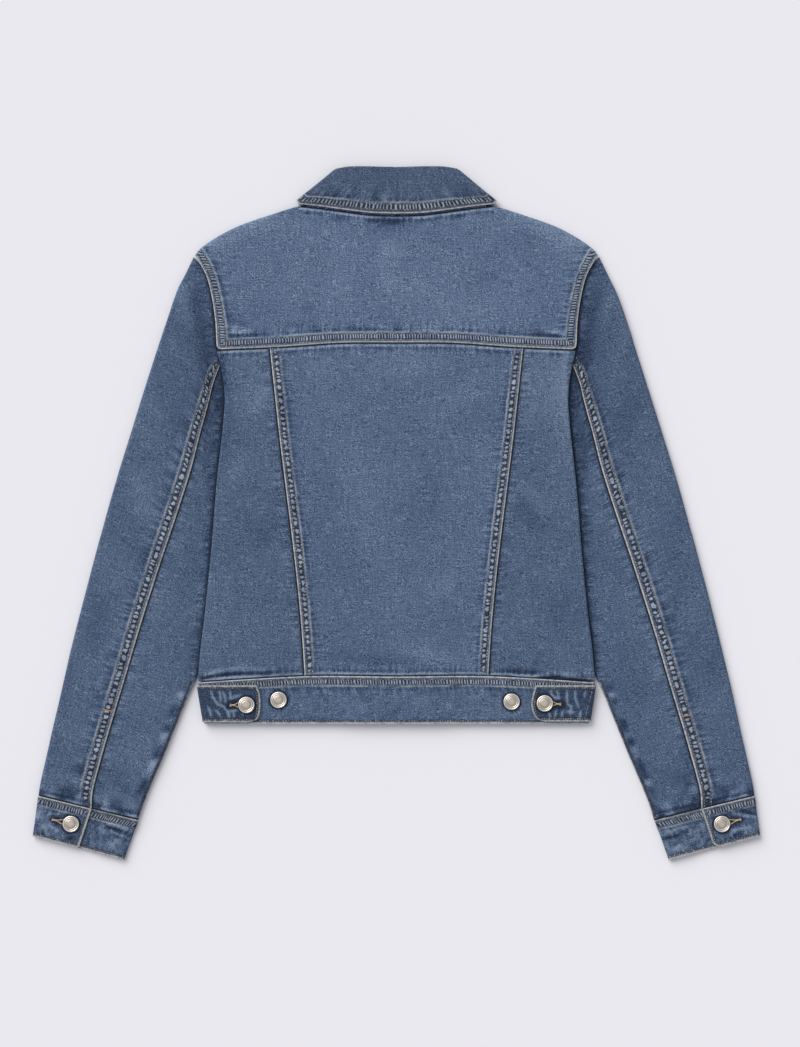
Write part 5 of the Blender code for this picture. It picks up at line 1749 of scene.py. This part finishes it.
for holes, grounds, place in ((TAB_HOLES, tab_straps, "tab"), (CUFF_HOLES, cuff_bands, "cuff")):
    for side, word in HALVES:
        hole = holes[side]
        far = math.hypot(hole.to_x - hole.x, hole.to_y - hole.y)
        way_x, way_y = (hole.to_x - hole.x) / far, (hole.to_y - hole.y) / far
        out = np.linspace(6.5, far - 0.8, 24)
        spread = 2.2 * step(far - 3.5, 7.0, out) + 0.35
        runs = []
        for leg in (-1, 1):
            xs = hole.x + way_x * out - way_y * spread * leg
            ys = hole.y + way_y * out + way_x * spread * leg
            runs.append(pinned(grounds[side], side * xs, ys))
        title = f"buttonhole_{place}_{word}"
        stitched(title, runs, gold_thread, 0.5, 1.3, 0.62, 0.6, across=True, seed=83)
        from_end = np.linspace(-1.5, 1.5, 7)
        xs, ys = hole.to_x - way_y * from_end, hole.to_y + way_x * from_end
        bar = [pinned(grounds[side], side * xs, ys)]
        stitched(f"{title}_bar", bar, gold_thread, 0.45, 1.9, 0.62, 0.9, across=True, seed=85)

# ---------------------------------------------------------------------------- Buttons
# Twelve turned jacket buttons of champagne-plated brass, 17 mm across: a rolled rim, a raised ring
# and a low dome, on a short shank that is riveted through the cloth. Six close the front, out of
# sight, one closes each cuff and each tab, and a spare is sewn beside each tab.

BUTTON_HEIGHT = 2.5
BUTTON_RADIUS = 8.5
# How far out and how high the button's rings are, from the shank's foot to the dome's middle
Ring = namedtuple("Ring", "radius height")
RINGS = (
    Ring(3.57, 0.0),
    Ring(3.57, 0.4),
    Ring(7.5, 0.42),
    Ring(8.2, 0.62),
    Ring(BUTTON_RADIUS, 0.95),
    Ring(BUTTON_RADIUS, 1.55),
    Ring(8.38, 1.95),
    Ring(8.05, 2.28),
    Ring(7.6, 2.42),
    Ring(7.15, 2.36),
    Ring(6.85, 2.12),
    Ring(6.65, 1.98),
    Ring(6.4, 2.06),
    Ring(6.15, 2.26),
    Ring(5.7, 2.32),
    Ring(5.35, 2.2),
    Ring(5.1, 2.02),
    Ring(4.85, 2.08),
    Ring(4.4, 2.26),
    Ring(3.4, 2.4),
    Ring(2.1, 2.48),
    Ring(0.9, BUTTON_HEIGHT),
)


def champagne_metal():
    """Champagne plating: the high rings are polished by wear, and brown tarnish stays in the grooves
    and dulls the dome. The UV map holds how far out each face is, and which way."""
    material, tree, shader = bare_material("champagne plated brass")
    turned = add(tree, "ShaderNodeUVMap", uv_map="turned").outputs[0]
    radius = add(tree, "ShaderNodeSeparateXYZ", (turned,)).outputs[0]
    ramp = add(tree, "ShaderNodeValToRGB", (radius,))
    shades = (
        (0.0, "#ece6df"),
        (0.30, "#d8cfc5"),
        (0.55, "#bfb3a7"),
        (0.595, "#998c7f"),
        (0.65, "#ebe4db"),
        (0.73, "#ddd4c9"),
        (0.78, "#8f8275"),
        (0.84, "#efeae2"),
        (0.93, "#f4f0ea"),
        (1.0, "#ac9e91"),
    )
    ramp.color_ramp.elements[0].color = linear(shades[0][1])
    ramp.color_ramp.elements[1].color = linear(shades[-1][1])
    for place, code in shades[1:-1]:
        ramp.color_ramp.elements.new(place).color = linear(code)
    brushed = add(tree, "ShaderNodeMapping", {"Vector": turned, "Scale": (42.0, 0.9, 1)}).outputs[0]
    lathe = add(tree, "ShaderNodeTexNoise", {"Vector": brushed, "Scale": 1.0, "Detail": 1.0}).outputs[0]
    place = add(tree, "ShaderNodeTexCoord").outputs["Object"]
    inputs = {"Vector": place, "Scale": 210.0, "Detail": 2.0}
    tarnish = add(tree, "ShaderNodeTexNoise", inputs).outputs[0]
    dulled = add(tree, "ShaderNodeMapRange", (tarnish, 0.4, 0.75, 0.0, 0.45)).outputs[0]
    inputs = {0: dulled, 6: ramp.outputs[0], 7: linear("#a39586")}
    colour = add(tree, "ShaderNodeMix", inputs, data_type="RGBA").outputs[2]
    tree.links.new(colour, shader.inputs["Base Color"])
    rough = add(tree, "ShaderNodeMapRange", (tarnish, 0.3, 0.7, 0.30, 0.46)).outputs[0]
    tree.links.new(rough, shader.inputs["Roughness"])
    bump = add(tree, "ShaderNodeBump", {"Height": lathe, "Strength": 0.12, "Distance": 0.0003})
    tree.links.new(bump.outputs[0], shader.inputs["Normal"])
    shader.inputs["Metallic"].default_value = 1.0
    return material


bpy.ops.mesh.primitive_circle_add(vertices=40, radius=RINGS[0].radius * MM, fill_type="NGON")
pattern = bpy.context.object
bpy.ops.object.mode_set(mode="EDIT")
bpy.ops.mesh.select_all(action="SELECT")
for low, high in zip(RINGS, RINGS[1:]):
    bpy.ops.mesh.extrude_region_move(
        TRANSFORM_OT_translate={"value": (0, 0, (high.height - low.height) * MM)}
    )
    ratio = high.radius / low.radius
    bpy.ops.transform.resize(value=(ratio, ratio, 1), center_override=(0, 0, high.height * MM))
bpy.ops.mesh.merge(type="CENTER")
bpy.ops.mesh.select_all(action="SELECT")
bpy.ops.mesh.normals_make_consistent(inside=False)
bpy.ops.object.mode_set(mode="OBJECT")
pattern.data.shade_smooth()
pattern.data.set_sharp_from_angle(angle=math.radians(60))
pattern.data.materials.append(champagne_metal())
spots = np.empty((len(pattern.data.vertices), 3))
pattern.data.vertices.foreach_get("co", spots.reshape(-1))
radius = np.hypot(spots[:, 0], spots[:, 1]) / (BUTTON_RADIUS * MM)
angle = np.arctan2(spots[:, 1], spots[:, 0])
corner = np.empty(len(pattern.data.loops), np.int32)
pattern.data.loops.foreach_get("vertex_index", corner)
turned = np.stack([radius[corner], angle[corner]], -1)
while pattern.data.uv_layers:
    pattern.data.uv_layers.remove(pattern.data.uv_layers[0])
pattern.data.uv_layers.new(name="turned").data.foreach_set("uv", turned.reshape(-1))

Button = namedtuple("Button", "name x y height faces_down")
on_cuff = 2 * CUFF_OUTER_RADIUS + LAYER
CLOSURE_YS = (236, 146, 56, -34, -124, -193)
buttons = [Button(f"front_{n}", 0, y, BUTTON_HEIGHT, True) for n, y in enumerate(CLOSURE_YS, 1)]
for name, x, y, plies in (
    ("tab_left", -TAB_HOLES[-1].x, TAB_HOLES[-1].y, 2),
    ("spare_left", *SPARES[0], 1),
    ("spare_right", *SPARES[1], 1),
    ("tab_right", TAB_HOLES[1].x, TAB_HOLES[1].y, 2),
):
    buttons.append(Button(name, x, y, float(band_top(x, y)) + plies * (BAND + LAYER), False))
for side, word in HALVES:
    buttons.append(Button(f"cuff_{word}", side * CUFF_BUTTON[0], CUFF_BUTTON[1], on_cuff, False))
for number, button in enumerate(buttons):
    mesh = pattern.data.copy()
    # Each was riveted on at its own turn
    turn = Matrix.Rotation(math.radians(37 * number), 4, "Z")
    if button.faces_down:
        turn = Matrix.Rotation(math.pi, 4, "X") @ turn
    place = Matrix.Translation((button.x * MM, (button.y + CENTRE_Y) * MM, button.height * MM))
    mesh.transform(place @ turn)
    mesh.name = f"button_{button.name}_turned"
    piece = bpy.data.objects.new(mesh.name, mesh)
    bpy.context.scene.collection.objects.link(piece)
    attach(piece, "root")
    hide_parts(f"button_{button.name}")
bpy.data.objects.remove(pattern)

# ---------------------------------------------------------------------------- Studio
# A pale seamless floor, lit by a wide soft box from the collar's left and by the bright room
# round it. The camera looks straight down from a little over three metres.

bpy.ops.mesh.primitive_plane_add(size=40, location=(0, 0, -0.0002))
floor = bpy.context.object
floor.name = "studio_floor"
paper, _, surface = bare_material("matt backdrop paper")
surface.inputs["Base Color"].default_value = linear("#e6e5ea")
surface.inputs["Roughness"].default_value = 1.0
surface.inputs["Specular IOR Level"].default_value = 0.0
floor.data.materials.append(paper)
floor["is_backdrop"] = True

room = bpy.data.worlds.new("bright room")
bpy.context.scene.world = room
room.use_nodes = True
room.node_tree.nodes["Background"].inputs["Color"].default_value = (0.97, 0.975, 1.0, 1)
room.node_tree.nodes["Background"].inputs["Strength"].default_value = 0.55

sun = bpy.data.lights.new("soft box", "SUN")
sun.energy = 2.56
sun.angle = math.radians(52)
sun.color = (1.0, 0.99, 0.975)
soft_box = bpy.data.objects.new("soft box", sun)
soft_box.rotation_euler = (math.radians(-37), math.radians(-39), 0)
bpy.context.scene.collection.objects.link(soft_box)

lens = bpy.data.cameras.new("overhead camera")
lens.lens = 110
camera = bpy.data.objects.new("overhead camera", lens)
camera.location = (0.0036, -0.0105, 3.269)
bpy.context.scene.collection.objects.link(camera)
bpy.context.scene.camera = camera
bpy.context.scene.view_settings.view_transform = "Standard"

low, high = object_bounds()
